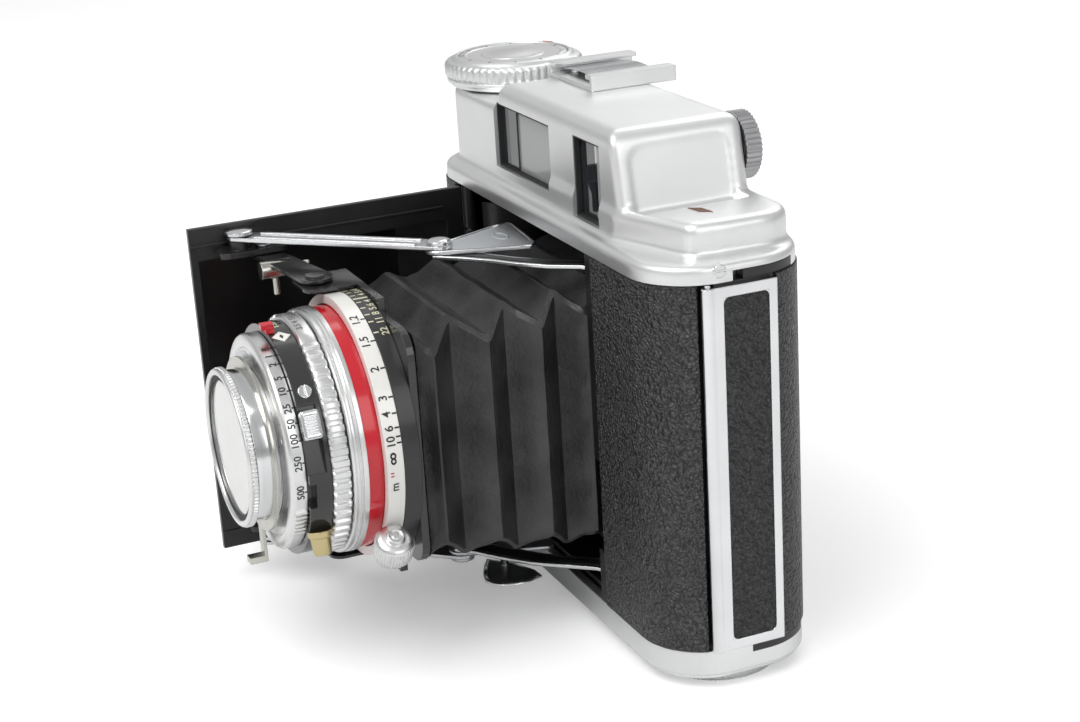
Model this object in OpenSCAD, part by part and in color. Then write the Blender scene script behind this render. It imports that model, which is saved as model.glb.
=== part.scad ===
// Folding roll-film camera, opened for use. The bed swings on an upright hinge near
// the -X end of the body, and struts above and below hold it.
// Frame: +Z up, -Y towards the subject, +X towards the end with the back latch.
// Origin: mouth of the tripod socket in the underside of the base plate.

/* [Body] */
// Overall width of the body, leather included
body_w = 106; // [104:0.5:110]
// Front face of the leather, measured forwards from the spool axis plane
body_front = 15.9; // [15.5:0.1:16.4]
// Back face of the leather, measured backwards
body_back = 15.1; // [14.8:0.1:16]
// Corner radius of the body in plan
corner_r = 12; // [11:0.5:12.5]
// Top of the base plate, where the leather starts
band_lo = 5.8; // [5.4:0.1:6.2]
// Underside of the top housing, where the leather ends
band_hi = 72.8; // [72.5:0.1:73.2]
// Thickness of the leather covering
leather_t = 0.5; // [0.4:0.1:0.6]

/* [Top housing] */
// Height of the finder block's roof
roof_z = 94.8; // [93:0.2:96]
// Height of the deck under the wind knob
deck_z = 91.0; // [90:0.1:91.4]
// Height of the shoulder at the latch end
shoulder_z = 81.8; // [80.5:0.1:83]
// Radius of the wind knob
knob_r = 13.9; // [12.5:0.1:14]

/* [Lens] */
// Height of the lens axis
axis_z = 41; // [40.5:0.1:41.2]
// Front face of the filter ring
lens_front = -77.1; // [-77.3:0.1:-77]
// Radius of the distance ring
ring_r = 24.3; // [24:0.1:24.3]

/* [Bed] */
// Length of the bed from its hinge axis to its free edge
bed_len = 57.5; // [57.3:0.1:57.8]
// Depth of the dished middle of the bed
bed_dish = 14.5; // [14.3:0.1:14.9]

/* [Hidden] */
$fn = 64;

half_w = body_w / 2;
front_y = -body_front;
split_y = 6;               // body in front of this plane, back behind it
mid_z = (band_lo + band_hi) / 2;
open_x0 = -37.6;           // ends of the opening in the front wall
open_x1 = 23;

// Upright axes, [x, y]
bed_x = -35.5;
bed_y = -14.2;
bed_hinge = [bed_x, bed_y];
back_hinge = [-half_w - 0.9, split_y];
spool_x = 39.45;
spool_y = -0.6;
take_up_at = [-spool_x, spool_y];
spool_knob_at = [spool_x, spool_y];
wind_at = [-40.6, spool_y];
release_at = [-26.6, 9];
latch_x = half_w;
latch_at = [latch_x, -6.9];
strut_pivot = [23.5, -7.5];   // strut to body
strut_elbow = [-4.4, -32.4];
strut_foot = [-32.7, -62.5];  // strut to bed
link_foot = [-32, -58.2];     // standard link to bed
link_head = [-10.05, -54.8];  // standard link to standard

spool_r = 12.1;
knuckle_r = 1.6;      // hinge of the back
knuckle_bore = 0.85;
bed_knuckle_r = 1.4;
bed_knuckle_bore = 0.75;
strut_bore = 1.05;
slot_half = 0.15;     // half width of a screw slot

// ---- shared outlines and solids ----
// Points along an arc; angles in degrees
function arc(at, r, a0, a1, steps = 12) =
  [for (i = [0:steps]) let (a = a0 + (a1 - a0) * i / steps) at + r * [cos(a), sin(a)]];

// Rounded rectangle between two opposite corners
function round_rect(lo, hi, r, steps = 6) = concat(
  arc([hi.x - r, hi.y - r], r, 0, 90, steps),
  arc([lo.x + r, hi.y - r], r, 90, 180, steps),
  arc([lo.x + r, lo.y + r], r, 180, 270, steps),
  arc([hi.x - r, lo.y + r], r, 270, 360, steps));

// Body outline in plan
function body_plan(inset) = round_rect([inset - half_w, front_y + inset],
  [half_w - inset, body_back - inset], corner_r - inset, 12);

// Flat bar with round ends, from a to b
function bar(a, b, r_a, r_b) = let (dir = atan2(b.y - a.y, b.x - a.x))
  concat(arc(a, r_a, dir + 90, dir + 270, 10), arc(b, r_b, dir - 90, dir + 90, 10));

// Knurled outline
function toothed(r, teeth, depth) = [for (i = [0:2 * teeth - 1])
  let (a = 180 * i / teeth) (r - depth * (i % 2)) * [cos(a), sin(a)]];

module slab(outline, z0, z1) translate([0, 0, z0]) linear_extrude(z1 - z0) polygon(outline);
module box(lo, hi) translate(lo) cube(hi - lo);
module post(at, r, z0, z1) translate([at.x, at.y, z0]) cylinder(r = r, h = z1 - z0);
module knurled_post(at, r, z0, z1, teeth, depth)
  translate([at.x, at.y, z0]) linear_extrude(z1 - z0) polygon(toothed(r, teeth, depth));

// Stands children on the lens axis at y, their z pointing backwards
module on_axis(y) translate([0, y, axis_z]) rotate([-90, 0, 0]) children();
module lens_disc(r, y0, y1) on_axis(y0) cylinder(r = r, h = y1 - y0);
module lens_ring(r, bore, y0, y1) difference() {
  lens_disc(r, y0, y1);
  lens_disc(bore, y0 - 1, y1 + 1);
}
module knurled_ring(r, bore, y0, y1, teeth, depth) on_axis(y0) difference() {
  linear_extrude(y1 - y0) polygon(toothed(r, teeth, depth));
  translate([0, 0, -1]) cylinder(r = bore, h = y1 - y0 + 2);
}

// Turns children about the lens axis; positive angles go from +X down towards -Z
module around_lens(y, angle) translate([0, y, axis_z]) rotate([0, angle, 0]) children();
// Points children radially outwards from the given radius
module outward(r) translate([r, 0, 0]) rotate([0, 90, 0]) children();

// Repeats the same shape above and below the middle of the opening
module both() {
  children();
  translate([0, 0, 2 * mid_z]) mirror([0, 0, 1]) children();
}

// ---- body ----
base_screws_at = [[-46, -5], [-20, 9], [22, 9]];
side_screw_y = -4.4;
side_screw_z = 74.9;
wall_x0 = 27;       // upright wall beside the +X spool
wall_x1 = 27.8;
bush_r = 6;

module body_walls() difference() {
  slab(body_plan(leather_t), band_lo, band_hi);
  slab(body_plan(leather_t + 0.8), band_lo + 1, band_hi - 0.9);
  // opening in the front wall
  box([open_x0, front_y - 1, band_lo - 1], [open_x1, -13.4, band_hi + 1]);
  box([open_x0, front_y - 1, band_lo + 1], [open_x1, -12, band_hi - 0.9]);
  box([-half_w - 1, split_y, band_lo - 1], [half_w + 1, body_back + 1, band_hi + 1]);
}
// Fixed hinge knuckles of the back
module back_knuckles()
  for (z = [[band_lo + 0.4, 19.8], [band_hi - 13.8, band_hi - 0.4]]) {
    post(back_hinge, knuckle_r, z[0], z[1]);
    box([back_hinge.x, split_y - 1.5, z[0]], [-half_w + 1.2, split_y - 0.1, z[1]]);
  }
// Fixed hinge knuckles of the bed
module bed_knuckles()
  for (z = [[band_lo + 0.5, 15], [band_hi - 9, band_hi - 0.5]]) {
    post(bed_hinge, bed_knuckle_r, z[0], z[1]);
    box([bed_x - 2.3, bed_y - 0.2, z[0]], [bed_x - 0.2, bed_y + 1.2, z[1]]);
  }
// Curved wall beside the take-up spool
module spool_wall() intersection() {
  difference() {
    post(take_up_at, spool_r + 0.6, band_lo + 0.5, band_hi - 0.5);
    post(take_up_at, spool_r + 0.2, band_lo, band_hi);
  }
  box([-34, -12.4, band_lo + 3.8], [-26, 8.4, band_hi - 3.8]);
}
// Plate with the picture opening, behind the bellows
module gate_plate() difference() {
  box([-30, 7.2, band_lo + 1.1], [wall_x1, 8.6, band_hi - 1.1]);
  box([-21, 6, mid_z - 28], [21, 10, mid_z + 28]);
}
module body_shell() color([0.08, 0.08, 0.085]) difference() {
  union() {
    body_walls();
    back_knuckles();
    box([wall_x0, -14.6, band_lo + 0.5], [wall_x1, 5.9, band_hi - 0.5]);
    box([wall_x0, 5.8, band_lo + 1.1], [wall_x1, 7.4, band_hi - 1.1]);
    spool_wall();
    gate_plate();
    bed_knuckles();
  }
  // clearance for the focusing knob in the edge of the opening
  box([open_x1 - 1, front_y - 1, 16], [open_x1 + 3, -11, 34]);
  post(bed_hinge, bed_knuckle_bore, band_lo - 1, band_hi + 1);
  post(take_up_at, 5, band_hi - 3, band_hi + 1);
  post(spool_knob_at, 4, band_lo - 1, band_lo + 3);
  post(strut_pivot, strut_bore, band_lo - 1, band_lo + 2);
  post(strut_pivot, strut_bore, band_hi - 2, band_hi + 1);
  post(back_hinge, knuckle_bore, 0, 80);
  // seat of the latch flap's pin
  box([latch_x - 1.8, -8.4, band_lo - 1], [half_w + 1, -5.5, band_hi + 1]);
}
module body_leather() color([0.1, 0.1, 0.1]) difference() {
  slab(body_plan(0), band_lo + 0.15, band_hi - 0.15);
  slab(body_plan(leather_t), band_lo - 1, band_hi + 1);
  box([open_x0 - 0.6, front_y - 1, band_lo - 1], [open_x1 + 3.2, front_y + 3, band_hi + 1]);
  box([-half_w - 1, split_y - 1.7, band_lo - 1], [half_w + 1, body_back + 1, band_hi + 1]);
  box([latch_x - 1.8, -8.4, band_lo - 1], [half_w + 1, split_y + 1, band_hi + 1]);
}
module base_plate() color([0.82, 0.83, 0.84]) difference() {
  union() {
    slab(body_plan(0.9), 0.35, 1.2);
    slab(body_plan(0.3), 1.2, band_lo - 0.02);
    slab(body_plan(1.6), 0, 0.35);
  }
  slab(body_plan(2), 1.4, band_lo + 1);
  post([0, 0], bush_r + 0.05, -1, 3);
  post(spool_knob_at, 8.2, -1, 3);
  for (at = base_screws_at) post(at, 1.05, -1, 3);
}
module tripod_bush() color([0.7, 0.7, 0.72]) difference() {
  union() {
    post([0, 0], bush_r, 0.05, 5.4);
    post([0, 0], 7.2, 1.42, 5.4);
  }
  post([0, 0], 2.55, -1, 4.8);
}
// Places children at the end screws of the top housing, pointing outwards along side = +-1
module side_screw(side, x) translate([side * x, side_screw_y, side_screw_z])
  rotate([0, side * 90, 0]) children();
module body_screws() color([0.75, 0.75, 0.77]) {
  for (at = base_screws_at) difference() {
    post(at, 1, 0.25, 4.5);
    box([at.x - 1.2, at.y - slot_half, 0], [at.x + 1.2, at.y + slot_half, 0.6]);
  }
  for (side = [-1, 1]) difference() {
    side_screw(side, 50.2) cylinder(r = 1.15, h = 2.7);
    box([side * 53 - 0.5, side_screw_y - 1.4, side_screw_z - slot_half],
      [side * 53 + 0.5, side_screw_y + 1.4, side_screw_z + slot_half]);
  }
}

// ---- top housing ----
glass_y0 = -11;           // finder windows
glass_y1 = -10.2;
glass_lap = 0.7;
view_lo = [13.6, 76.9];   // viewfinder opening, [x, z]
view_hi = [24.5, 91.6];
illum_lo = [-22.2, 78.9]; // illumination opening, [x, z]
illum_hi = [2.9, 91.3];
shoe_x0 = -23;
shoe_x1 = -3.2;
shoe_y0 = -0.5;
shoe_y1 = 17;
shoe_screws_at = [for (x = [-19.5, -6.5], y = [4, 12]) [x, y]];

// Rounded -X end of the upper housing
function housing_end(inset) = concat(
  arc([12.5 - half_w, 2.6], 11 - inset, 90, 180),
  arc([12.5 - half_w, -1.9], 11 - inset, 180, 270));
// Plan outlines, [x, y]
function shoulder_plan(inset) = concat(housing_end(inset), [
  [30, inset - 12.9], [46.5 - inset, -7.2], [48.6 - inset, -3],
  [48.6 - inset, 6], [45 - inset, 13.6 - inset]]);
function deck_plan(inset) = concat(housing_end(inset),
  [[-20, inset - 12.9], [-20, 13.6 - inset]]);
function finder_plan(inset) = [
  [inset - 23.1, inset - 12.3], [30.6 - inset, inset - 12.3], [31.6 - inset, -10],
  [31.6 - inset, 11.5], [29 - inset, 13.4 - inset], [inset - 23.1, 13.4 - inset]];

// Stepped housing, its walls moved in by inset and its tops lowered by drop
module housing_solid(inset, drop) {
  slab(body_plan(0.2 + inset), band_hi, 75.6 - drop);
  slab(body_plan(0.9 + inset), 75.5 - drop, 76.8 - drop);
  slab(shoulder_plan(inset), band_hi, shoulder_z - drop);
  slab(deck_plan(inset), band_hi, deck_z - drop);
  slab(finder_plan(inset), band_hi, roof_z - drop);
}
// Eyepiece axis at y, z pointing backwards
module on_eyepiece(y) translate([24.5, y, 88]) rotate([-90, 0, 0]) children();

module top_housing() color([0.85, 0.86, 0.87]) difference() {
  housing_solid(0, 0);
  translate([0, 0, -0.1]) housing_solid(1.2, 1.2);
  box([illum_lo[0], -14, illum_lo[1]], [illum_hi[0], -10, illum_hi[1]]);
  box([view_lo[0], -14, view_lo[1]], [view_hi[0], -10, view_hi[1]]);
  on_eyepiece(9) cylinder(r = 4.05, h = 8);
  post(wind_at, 4, deck_z - 4, deck_z + 2);
  post(release_at, 2.55, deck_z - 4, deck_z + 2);
  for (side = [-1, 1]) side_screw(side, 48) cylinder(r = 1.2, h = 8);
  for (at = shoe_screws_at) post(at, 0.7, roof_z - 3, roof_z + 1);
  // slot that clears the back's top flange beside the latch
  box([50, -2.5, 74], [half_w + 2, 12, band_hi + 1.3]);
}
module accessory_shoe() color([0.8, 0.81, 0.82]) difference() {
  union() {
    box([shoe_x0, shoe_y0, roof_z + 0.02], [shoe_x1, shoe_y1, roof_z + 0.8]);
    // side walls, then the lips over the slot
    for (x = [shoe_x0, shoe_x1 - 0.9])
      box([x, shoe_y0, roof_z + 0.7], [x + 0.9, shoe_y1, roof_z + 2.9]);
    for (x = [shoe_x0, shoe_x1 - 2.8])
      box([x, shoe_y0, roof_z + 2.1], [x + 2.8, shoe_y1, roof_z + 2.9]);
  }
  for (at = shoe_screws_at) post(at, 0.75, roof_z - 1, roof_z + 1.5);
}
module shoe_screws() color([0.7, 0.7, 0.72]) for (at = shoe_screws_at) difference() {
  union() {
    post(at, 0.65, roof_z - 1.6, roof_z + 0.9);
    post(at, 1.3, roof_z + 0.82, roof_z + 1.25);
  }
  box([at.x - 1.5, at.y - slot_half, roof_z + 1.05], [at.x + 1.5, at.y + slot_half, roof_z + 2]);
}
module illumination_window() color([0.75, 0.78, 0.78, 0.6])
  box([illum_lo[0] + 0.35, glass_y0, illum_lo[1] - glass_lap],
    [illum_hi[0] + glass_lap, glass_y1, illum_hi[1] + glass_lap]);
module viewfinder_window() color([0.2, 0.22, 0.25, 0.6])
  box([view_lo[0] - glass_lap, glass_y0, view_lo[1] - glass_lap],
    [view_hi[0] + glass_lap, glass_y1, view_hi[1] + glass_lap]);
module eyepiece_ring() color([0.15, 0.15, 0.15]) on_eyepiece(12) difference() {
  union() {
    cylinder(r = 4, h = 2);
    translate([0, 0, 1.45]) linear_extrude(3) polygon(toothed(6.2, 40, 0.3));
  }
  translate([0, 0, -1]) cylinder(r = 3, h = 8);
}
module eyepiece_lens() color([0.7, 0.8, 0.85, 0.5]) on_eyepiece(13.2) cylinder(r = 2.97, h = 1.6);
// Two blocks joined by a thin strip
module finder_prism() color([0.3, 0.33, 0.36]) {
  box([14.5, -4, 81], [24, 6, 90.5]);
  box([-19, -4, 81], [-10, 6, 90.5]);
  box([-10.2, -1, 80], [14.7, 3, 81.1]);
}

// ---- hinge pins, pivots, bellows and rollers ----
roller_x = 30.9;
module bed_hinge_pin() color([0.7, 0.7, 0.7]) post(bed_hinge, 0.7, band_lo + 0.6, band_hi - 0.6);
module back_hinge_pin() color([0.7, 0.7, 0.7]) post(back_hinge, 0.8, band_lo + 0.2, band_hi - 0.2);
module strut_pivots() color([0.75, 0.75, 0.75]) both() union() {
  post(strut_pivot, 1, 67.2, band_hi - 0.1);
  post(strut_pivot, 1.8, 67.2, 68.1);
}
// Closed envelope of the pleated leather
module bellows() color([0.07, 0.07, 0.07]) hull() {
  box([-20, -47.1, axis_z - 20], [20, -46.6, axis_z + 20]);
  box([-24.5, -13, mid_z - 27.4], [22, 6.9, mid_z + 27.4]);
}
module film_roller(x) color([0.6, 0.6, 0.62]) union() {
  post([x, 9.6], 1.0, band_lo + 2, band_hi - 2);
  post([x, 9.6], 0.6, band_lo + 1.1, band_hi - 1.05);
}
module film_roller_left() film_roller(-roller_x);
module film_roller_right() film_roller(roller_x);

// ---- bed, standing open at right angles to the body ----
module bed_panel() color([0.06, 0.06, 0.065]) difference() {
  union() {
    box([bed_x - 1.2, bed_y - bed_len, band_lo + 0.4], [bed_x, bed_y - 1.6, band_hi - 0.4]);
    box([bed_x - 1.2, bed_y - 2, 15.3], [bed_x, bed_y, band_hi - 9.3]);
    post(bed_hinge, bed_knuckle_r, 15.3, band_hi - 9.3);
    // outside of the dish
    hull() {
      box([bed_x - 1.2, bed_y - 56.8, 14.7], [bed_x - 1, bed_y - 4.2, 66.8]);
      box([bed_x - bed_dish - 0.9, bed_y - 53.7, 18.2], [bed_x - bed_dish, bed_y - 10.3, 63.8]);
    }
  }
  post(bed_hinge, bed_knuckle_bore, 0, 80);
  // inside of the dish
  hull() {
    box([bed_x, bed_y - 56, 15.5], [bed_x + 1, bed_y - 5, 66]);
    box([bed_x - bed_dish, bed_y - 53, 19], [bed_x - bed_dish + 0.01, bed_y - 11, 63]);
  }
}
module bed_leather() color([0.1, 0.1, 0.1])
  box([bed_x - bed_dish - 1.5, bed_y - 53.2, 18.7],
    [bed_x - bed_dish - 0.92, bed_y - 10.8, 63.3]);

// Cutter for a pivot hole in the upper linkage
module pivot_hole(at, r) post(at, r, 60, 75);
bracket_plan = round_rect([bed_x + 0.02, -67], [strut_foot.x + 3.2, -53], 2.2);
module bed_brackets() color([0.07, 0.07, 0.075]) both() difference() {
  union() {
    slab(bracket_plan, 67.4, 68.1);
    slab(bracket_plan, 67.0, 67.45);
    box([bed_x + 0.02, -66, 65.6], [bed_x + 0.7, -54, 67.5]);
    post(strut_foot, 2.1, 68, 69.9);
  }
  pivot_hole(strut_foot, strut_bore);
  pivot_hole(link_foot, 0.85);
}
module bed_rivets() color([0.8, 0.8, 0.8]) both() {
  union() {
    post(strut_foot, 1, 67.3, 71);
    post(strut_foot, 2.6, 70.92, 71.5);
  }
  union() {
    post(link_foot, 0.8, 65.9, 68.3);
    post(link_foot, 1.5, 68.15, 68.6);
  }
}

// ---- links and lens standard ----
lug_hi = 65.9;    // outer faces of the standard's lugs
lug_lo = 12.78;
lug_t = 0.55;
lug_plan = round_rect([-15, -58.4], [-4, -47.6], 2.5);

module standard_links() color([0.09, 0.09, 0.095]) both() difference() {
  union() {
    slab(bar(link_foot, link_head, 2.6, 3.2), 66.2, 66.85);
    post(link_head, 1.9, 66.8, 67.25);
  }
  pivot_hole(link_foot, 0.87);
}
// Upright plate, outline in [x, z]
module standard_plate(outline)
  translate([0, -47.4, 0]) rotate([90, 0, 0]) linear_extrude(1.4) polygon(outline);
module lens_standard() color([0.09, 0.09, 0.095]) difference() {
  union() {
    standard_plate(round_rect([-21, axis_z - 22], [21, axis_z + 22], 5));
    standard_plate([[-15, lug_lo], [7, lug_lo], [7, lug_hi], [-15, lug_hi]]);
    slab(lug_plan, lug_hi - lug_t, lug_hi);
    slab(lug_plan, lug_lo, lug_lo + lug_t);
  }
  lens_disc(15.6, -60, -40);
}

// ---- lens and shutter; a larger y is nearer the body ----
ring_bore = 22.6;     // depth and distance rings
filter_bore = 13.2;
module depth_scale_ring() color([0.1, 0.1, 0.1]) lens_ring(ring_r, ring_bore, -52, -48.82);
module distance_ring() color([0.9, 0.9, 0.88]) lens_ring(ring_r, ring_bore, -55.2, -52.06);
module focus_knob() color([0.82, 0.83, 0.84]) around_lens(-53.6, 33) union() {
  outward(23.6) cylinder(r = 1.4, h = 3);
  translate([28, -1.4, -2.4]) {
    linear_extrude(4.6) polygon(toothed(3.6, 16, 0.18));
    translate([0, 0, 4.5]) cylinder(r1 = 3.3, r2 = 2.6, h = 0.7);
    translate([0, 0, 5]) cylinder(r = 1.6, h = 0.9);
  }
}
module red_barrel() color([0.8, 0.03, 0.06]) lens_ring(22.4, 20.4, -58.3, -51.7);
module shutter_rim() color([0.85, 0.86, 0.87]) difference() {
  lens_disc(22.7, -60.76, -58.0);
  lens_ring(22.42, 20.38, -58.3, -50);  // seat of the red barrel
  lens_disc(15, -62, -50);
}
module shutter_case() color([0.08, 0.08, 0.08]) difference() {
  union() {
    lens_disc(21.2, -68.3, -64.22);
    lens_disc(18.6, -70.8, -68.2);
    lens_disc(20.5, -64.3, -60.78);
  }
  lens_disc(13.45, -72, -50);
  // notches in the edge of the case
  around_lens(-68.4, 11) box([19.3, 0, -2.4], [24.3, 1.3, 2.4]);
  around_lens(-68.4, -17) box([19.75, -0.15, -6], [24.75, 3.35, 6]);
}
module front_barrel() color([0.82, 0.83, 0.84]) difference() {
  union() {
    lens_disc(13.9, -75.45, -70.85);
    lens_disc(13.4, -70.9, -61);
  }
  lens_disc(12.4, -80, -50);
}
module front_lens() color([0.6, 0.7, 0.8, 0.5]) union() {
  lens_disc(12.3, -73.6, -71.2);
  lens_disc(9, -74.6, -70.8);
}
module rear_cell() color([0.1, 0.1, 0.1]) union() {
  lens_ring(13.3, 10.5, -60.9, -48.2);
  lens_ring(14.9, 13.2, -60.7, -57.9);
  lens_disc(10.6, -53, -50);
}
module filter_ring() color([0.85, 0.86, 0.87]) union() {
  knurled_ring(14.65, filter_bore, lens_front + 0.2, -75.5, 90, 0.22);
  lens_ring(14.45, filter_bore, lens_front, lens_front + 0.3);
}
module filter_glass() color([0.85, 0.9, 0.92, 0.4]) lens_disc(filter_bore - 0.02, -76.6, -75.8);
module flash_socket() color([0.72, 0.6, 0.35]) around_lens(-66.7, 34) outward(20.6) difference() {
  union() {
    cylinder(r = 2.3, h = 1.2);
    cylinder(r = 1.8, h = 4.2);
  }
  translate([0, 0, 2.2]) cylinder(r = 1.3, h = 3);
}
module case_screws() color([0.8, 0.8, 0.8]) for (angle = [-40, 140])
  around_lens(-66.3, angle) outward(21.1) difference() {
    cylinder(r = 1.2, h = 0.6);
    box([-1.5, -slot_half, 0.35], [1.5, slot_half, 1.35]);
  }
// Five crescent blades, each a step behind the last
module iris_blades() color([0.25, 0.25, 0.27]) for (k = [0:4])
  on_axis(-62.6 + 0.3 * k) rotate([0, 0, 72 * k]) linear_extrude(0.2)
    polygon(concat(arc([0, 0], 12.1, -10, 95, 10), arc([0, 0], 9, 85, 0, 8)));
module aperture_ring() color([0.84, 0.85, 0.86])
  knurled_ring(22.1, 20.55, -64.18, -60.8, 60, 0.3);
module speed_ring() color([0.84, 0.85, 0.86]) difference() {
  union() {
    lens_disc(19.8, -70.9, -68.34);
    lens_disc(19.2, -71.3, -70.8);
    // four ribs on the rim
    for (angle = [46:4:58]) around_lens(-69.6, angle) box([19.3, -0.9, -0.4], [20.2, 1.1, 0.4]);
  }
  lens_disc(18.65, -70.85, -60);
  lens_disc(14, -75, -60);
}
module cocking_lever() color([0.85, 0.86, 0.87]) around_lens(-68, -24) union() {
  box([20.25, -0.3, -1], [21.85, 2.3, 1]);
  translate([21.3, 1.2, 0]) rotate([0, 90, 0]) linear_extrude(1.6)
    polygon(round_rect([-2.7, -1.45], [2.7, 1.45], 1.1));
}
module sync_lever() color([0.75, 0.08, 0.08]) around_lens(-67.9, -82) union() {
  box([21.3, -0.8, -0.9], [22.5, 0.7, 0.9]);
  box([22.1, -1.6, -0.7], [23.1, 0.6, 0.7]);
}
// Flat ring around the front barrel with a bent arm
module release_lever() color([0.8, 0.8, 0.8]) around_lens(-72.2, 88) union() {
  rotate([90, 0, 0]) difference() {
    cylinder(r = 16, h = 0.6);
    translate([0, 0, -1]) cylinder(r = 13.95, h = 3);
  }
  box([15, -0.6, -1.2], [22.6, 0, 1.2]);
  box([21.4, -3.4, -1.2], [22.6, 0, 1.2]);
}

// ---- struts, drawn for the upper side ----
tab_plan = concat(arc(strut_elbow, 2.6, 190, 330),
  [for (p = [[6.4, 4], [9.2, 15.3], [8.2, 16.6], [-8.4, 18.6], [-10, 17.6], [-5, 4]])
    strut_elbow + p]);
module strut_arms() color([0.82, 0.83, 0.84]) both() difference() {
  slab(bar(strut_pivot, strut_elbow, 2.6, 2.9), 68.3, 69.0);
  pivot_hole(strut_pivot, strut_bore);
}
module strut_tabs() color([0.75, 0.76, 0.77]) both() slab(tab_plan, 69.12, 69.75);
module strut_bars() color([0.82, 0.83, 0.84]) both() difference() {
  slab(bar(strut_foot, strut_elbow, 2.3, 2.5), 70.0, 70.7);
  pivot_hole(strut_foot, strut_bore);
}
module strut_rivets() color([0.85, 0.85, 0.86]) both() post(strut_elbow, 2.3, 70.72, 71.3);

// ---- latch flap on the +X end wall ----
module latch_flap() color([0.85, 0.86, 0.87]) difference() {
  union() {
    post(latch_at, 1.15, band_lo + 0.4, band_hi - 0.4);
    box([latch_x - 0.4, -6.8, band_lo + 0.4], [latch_x + 0.9, 5.7, band_hi - 0.4]);
  }
  post(latch_at, 0.55, 0, 80);
  box([latch_x + 0.2, -4.4, band_lo + 2.2], [latch_x + 2, 4.2, band_hi - 2.2]);
}
module latch_leather() color([0.1, 0.1, 0.1])
  box([latch_x + 0.22, -4.3, band_lo + 2.3], [latch_x + 0.8, 4.1, band_hi - 2.3]);
module latch_pin() color([0.7, 0.7, 0.7]) post(latch_at, 0.5, band_lo + 0.05, band_hi - 0.05);

// ---- back ----
// Spring outline, [x, y]: a shallow strip bowed towards the back
spring_plan = [
  [-14, 9.92], [-12, 9.92], [0, 12.9], [12, 9.92], [14, 9.92], [14, 10.15],
  [12.1, 10.15], [1, 13.2], [-1, 13.2], [-12.1, 10.15], [-14, 10.15]];
module back_shell() color([0.08, 0.08, 0.085]) difference() {
  union() {
    difference() {
      slab(body_plan(leather_t), band_lo + 0.05, band_hi - 0.05);
      slab(body_plan(leather_t + 1.2), band_lo + 0.95, band_hi - 0.95);
      box([-half_w - 1, front_y - 1, band_lo - 1], [half_w + 1, split_y + 0.15, band_hi + 1]);
    }
    // moving hinge knuckle
    post(back_hinge, knuckle_r, 20, band_hi - 14);
    box([back_hinge.x, split_y + 0.2, 20], [-half_w + 1.9, split_y + 1.5, band_hi - 14]);
  }
  post(back_hinge, knuckle_bore, 0, 80);
  box([-53.5, 0, band_hi - 1.2], [-33, 4, band_hi + 1]);
}
module back_leather() color([0.1, 0.1, 0.1]) difference() {
  slab(body_plan(0), band_lo + 0.2, band_hi - 0.2);
  slab(body_plan(leather_t), band_lo - 1, band_hi + 1);
  box([-half_w - 1, front_y - 1, band_lo - 1], [half_w + 1, split_y + 0.3, band_hi + 1]);
  post(back_hinge, knuckle_r + 0.2, 0, 80);
  box([-half_w - 1, split_y, 0], [-half_w + 2.2, split_y + 1.9, 80]);
}
module pressure_plate() color([0.15, 0.15, 0.15])
  translate([0, 9, 0]) rotate([-90, 0, 0]) linear_extrude(0.9)
    polygon(round_rect([-29, -mid_z - 31], [26.5, -mid_z + 31], 2.5));
module plate_springs() color([0.6, 0.6, 0.55]) for (z = [mid_z - 18, mid_z + 18])
  translate([0, 0, z - 3]) linear_extrude(6) polygon(spring_plan);

// ---- winding and release ----
module wind_knob() color([0.84, 0.85, 0.86]) difference() {
  union() {
    knurled_post(wind_at, knob_r, 92, 96.1, 72, 0.35);
    post(wind_at, 13.2, 96, 96.9);
    post(wind_at, 12.6, 91.3, 92.1);
    post(wind_at, 3.9, 73.4, 91.4);
  }
  post(wind_at, 11, 96.1, 98);
}
module reminder_disc() color([0.8, 0.81, 0.82]) union() {
  post(wind_at, 10.9, 96.15, 96.65);
  post(wind_at, 3.6, 96.6, 96.9);
}
module take_up_spool() color([0.2, 0.2, 0.2]) union() {
  for (z = [7.1, 70.4]) post(take_up_at, spool_r - 0.1, z, z + 1);
  post(take_up_at, 4, 8, 70.5);
  post(take_up_at, 3.2, 71.3, 73.3);
}
module release_button() color([0.85, 0.86, 0.87]) difference() {
  union() {
    post(release_at, 2.5, 85.8, 93);
    post(release_at, 2.9, 84.8, 86.2);
  }
  post(release_at, 0.9, 90.8, 94);
}
module spool_knob() color([0.83, 0.84, 0.85]) difference() {
  union() {
    knurled_post(spool_knob_at, 11.2, -1.6, -0.1, 90, 0.25);
    post(spool_knob_at, 8.1, -0.2, 1.3);
    post(spool_knob_at, 3.9, 1.2, 6.2);
    post(spool_knob_at, 1.5, 6, 10);
  }
  box([spool_x - 6, spool_y - 0.6, -2], [spool_x + 6, spool_y + 0.6, -1.2]);
}

body_shell();
body_leather();
base_plate();
tripod_bush();
body_screws();
top_housing();
accessory_shoe();
shoe_screws();
illumination_window();
viewfinder_window();
eyepiece_ring();
eyepiece_lens();
finder_prism();
bed_hinge_pin();
back_hinge_pin();
strut_pivots();
bellows();
film_roller_left();
film_roller_right();
bed_panel();
bed_leather();
bed_brackets();
bed_rivets();
standard_links();
lens_standard();
depth_scale_ring();
distance_ring();
focus_knob();
red_barrel();
shutter_case();
shutter_rim();
front_barrel();
front_lens();
rear_cell();
filter_ring();
filter_glass();
flash_socket();
case_screws();
iris_blades();
aperture_ring();
speed_ring();
cocking_lever();
sync_lever();
release_lever();
strut_arms();
strut_bars();
strut_tabs();
strut_rivets();
latch_flap();
latch_leather();
back_shell();
back_leather();
pressure_plate();
plate_springs();
wind_knob();
take_up_spool();
reminder_disc();
release_button();
spool_knob();
latch_pin();
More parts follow.
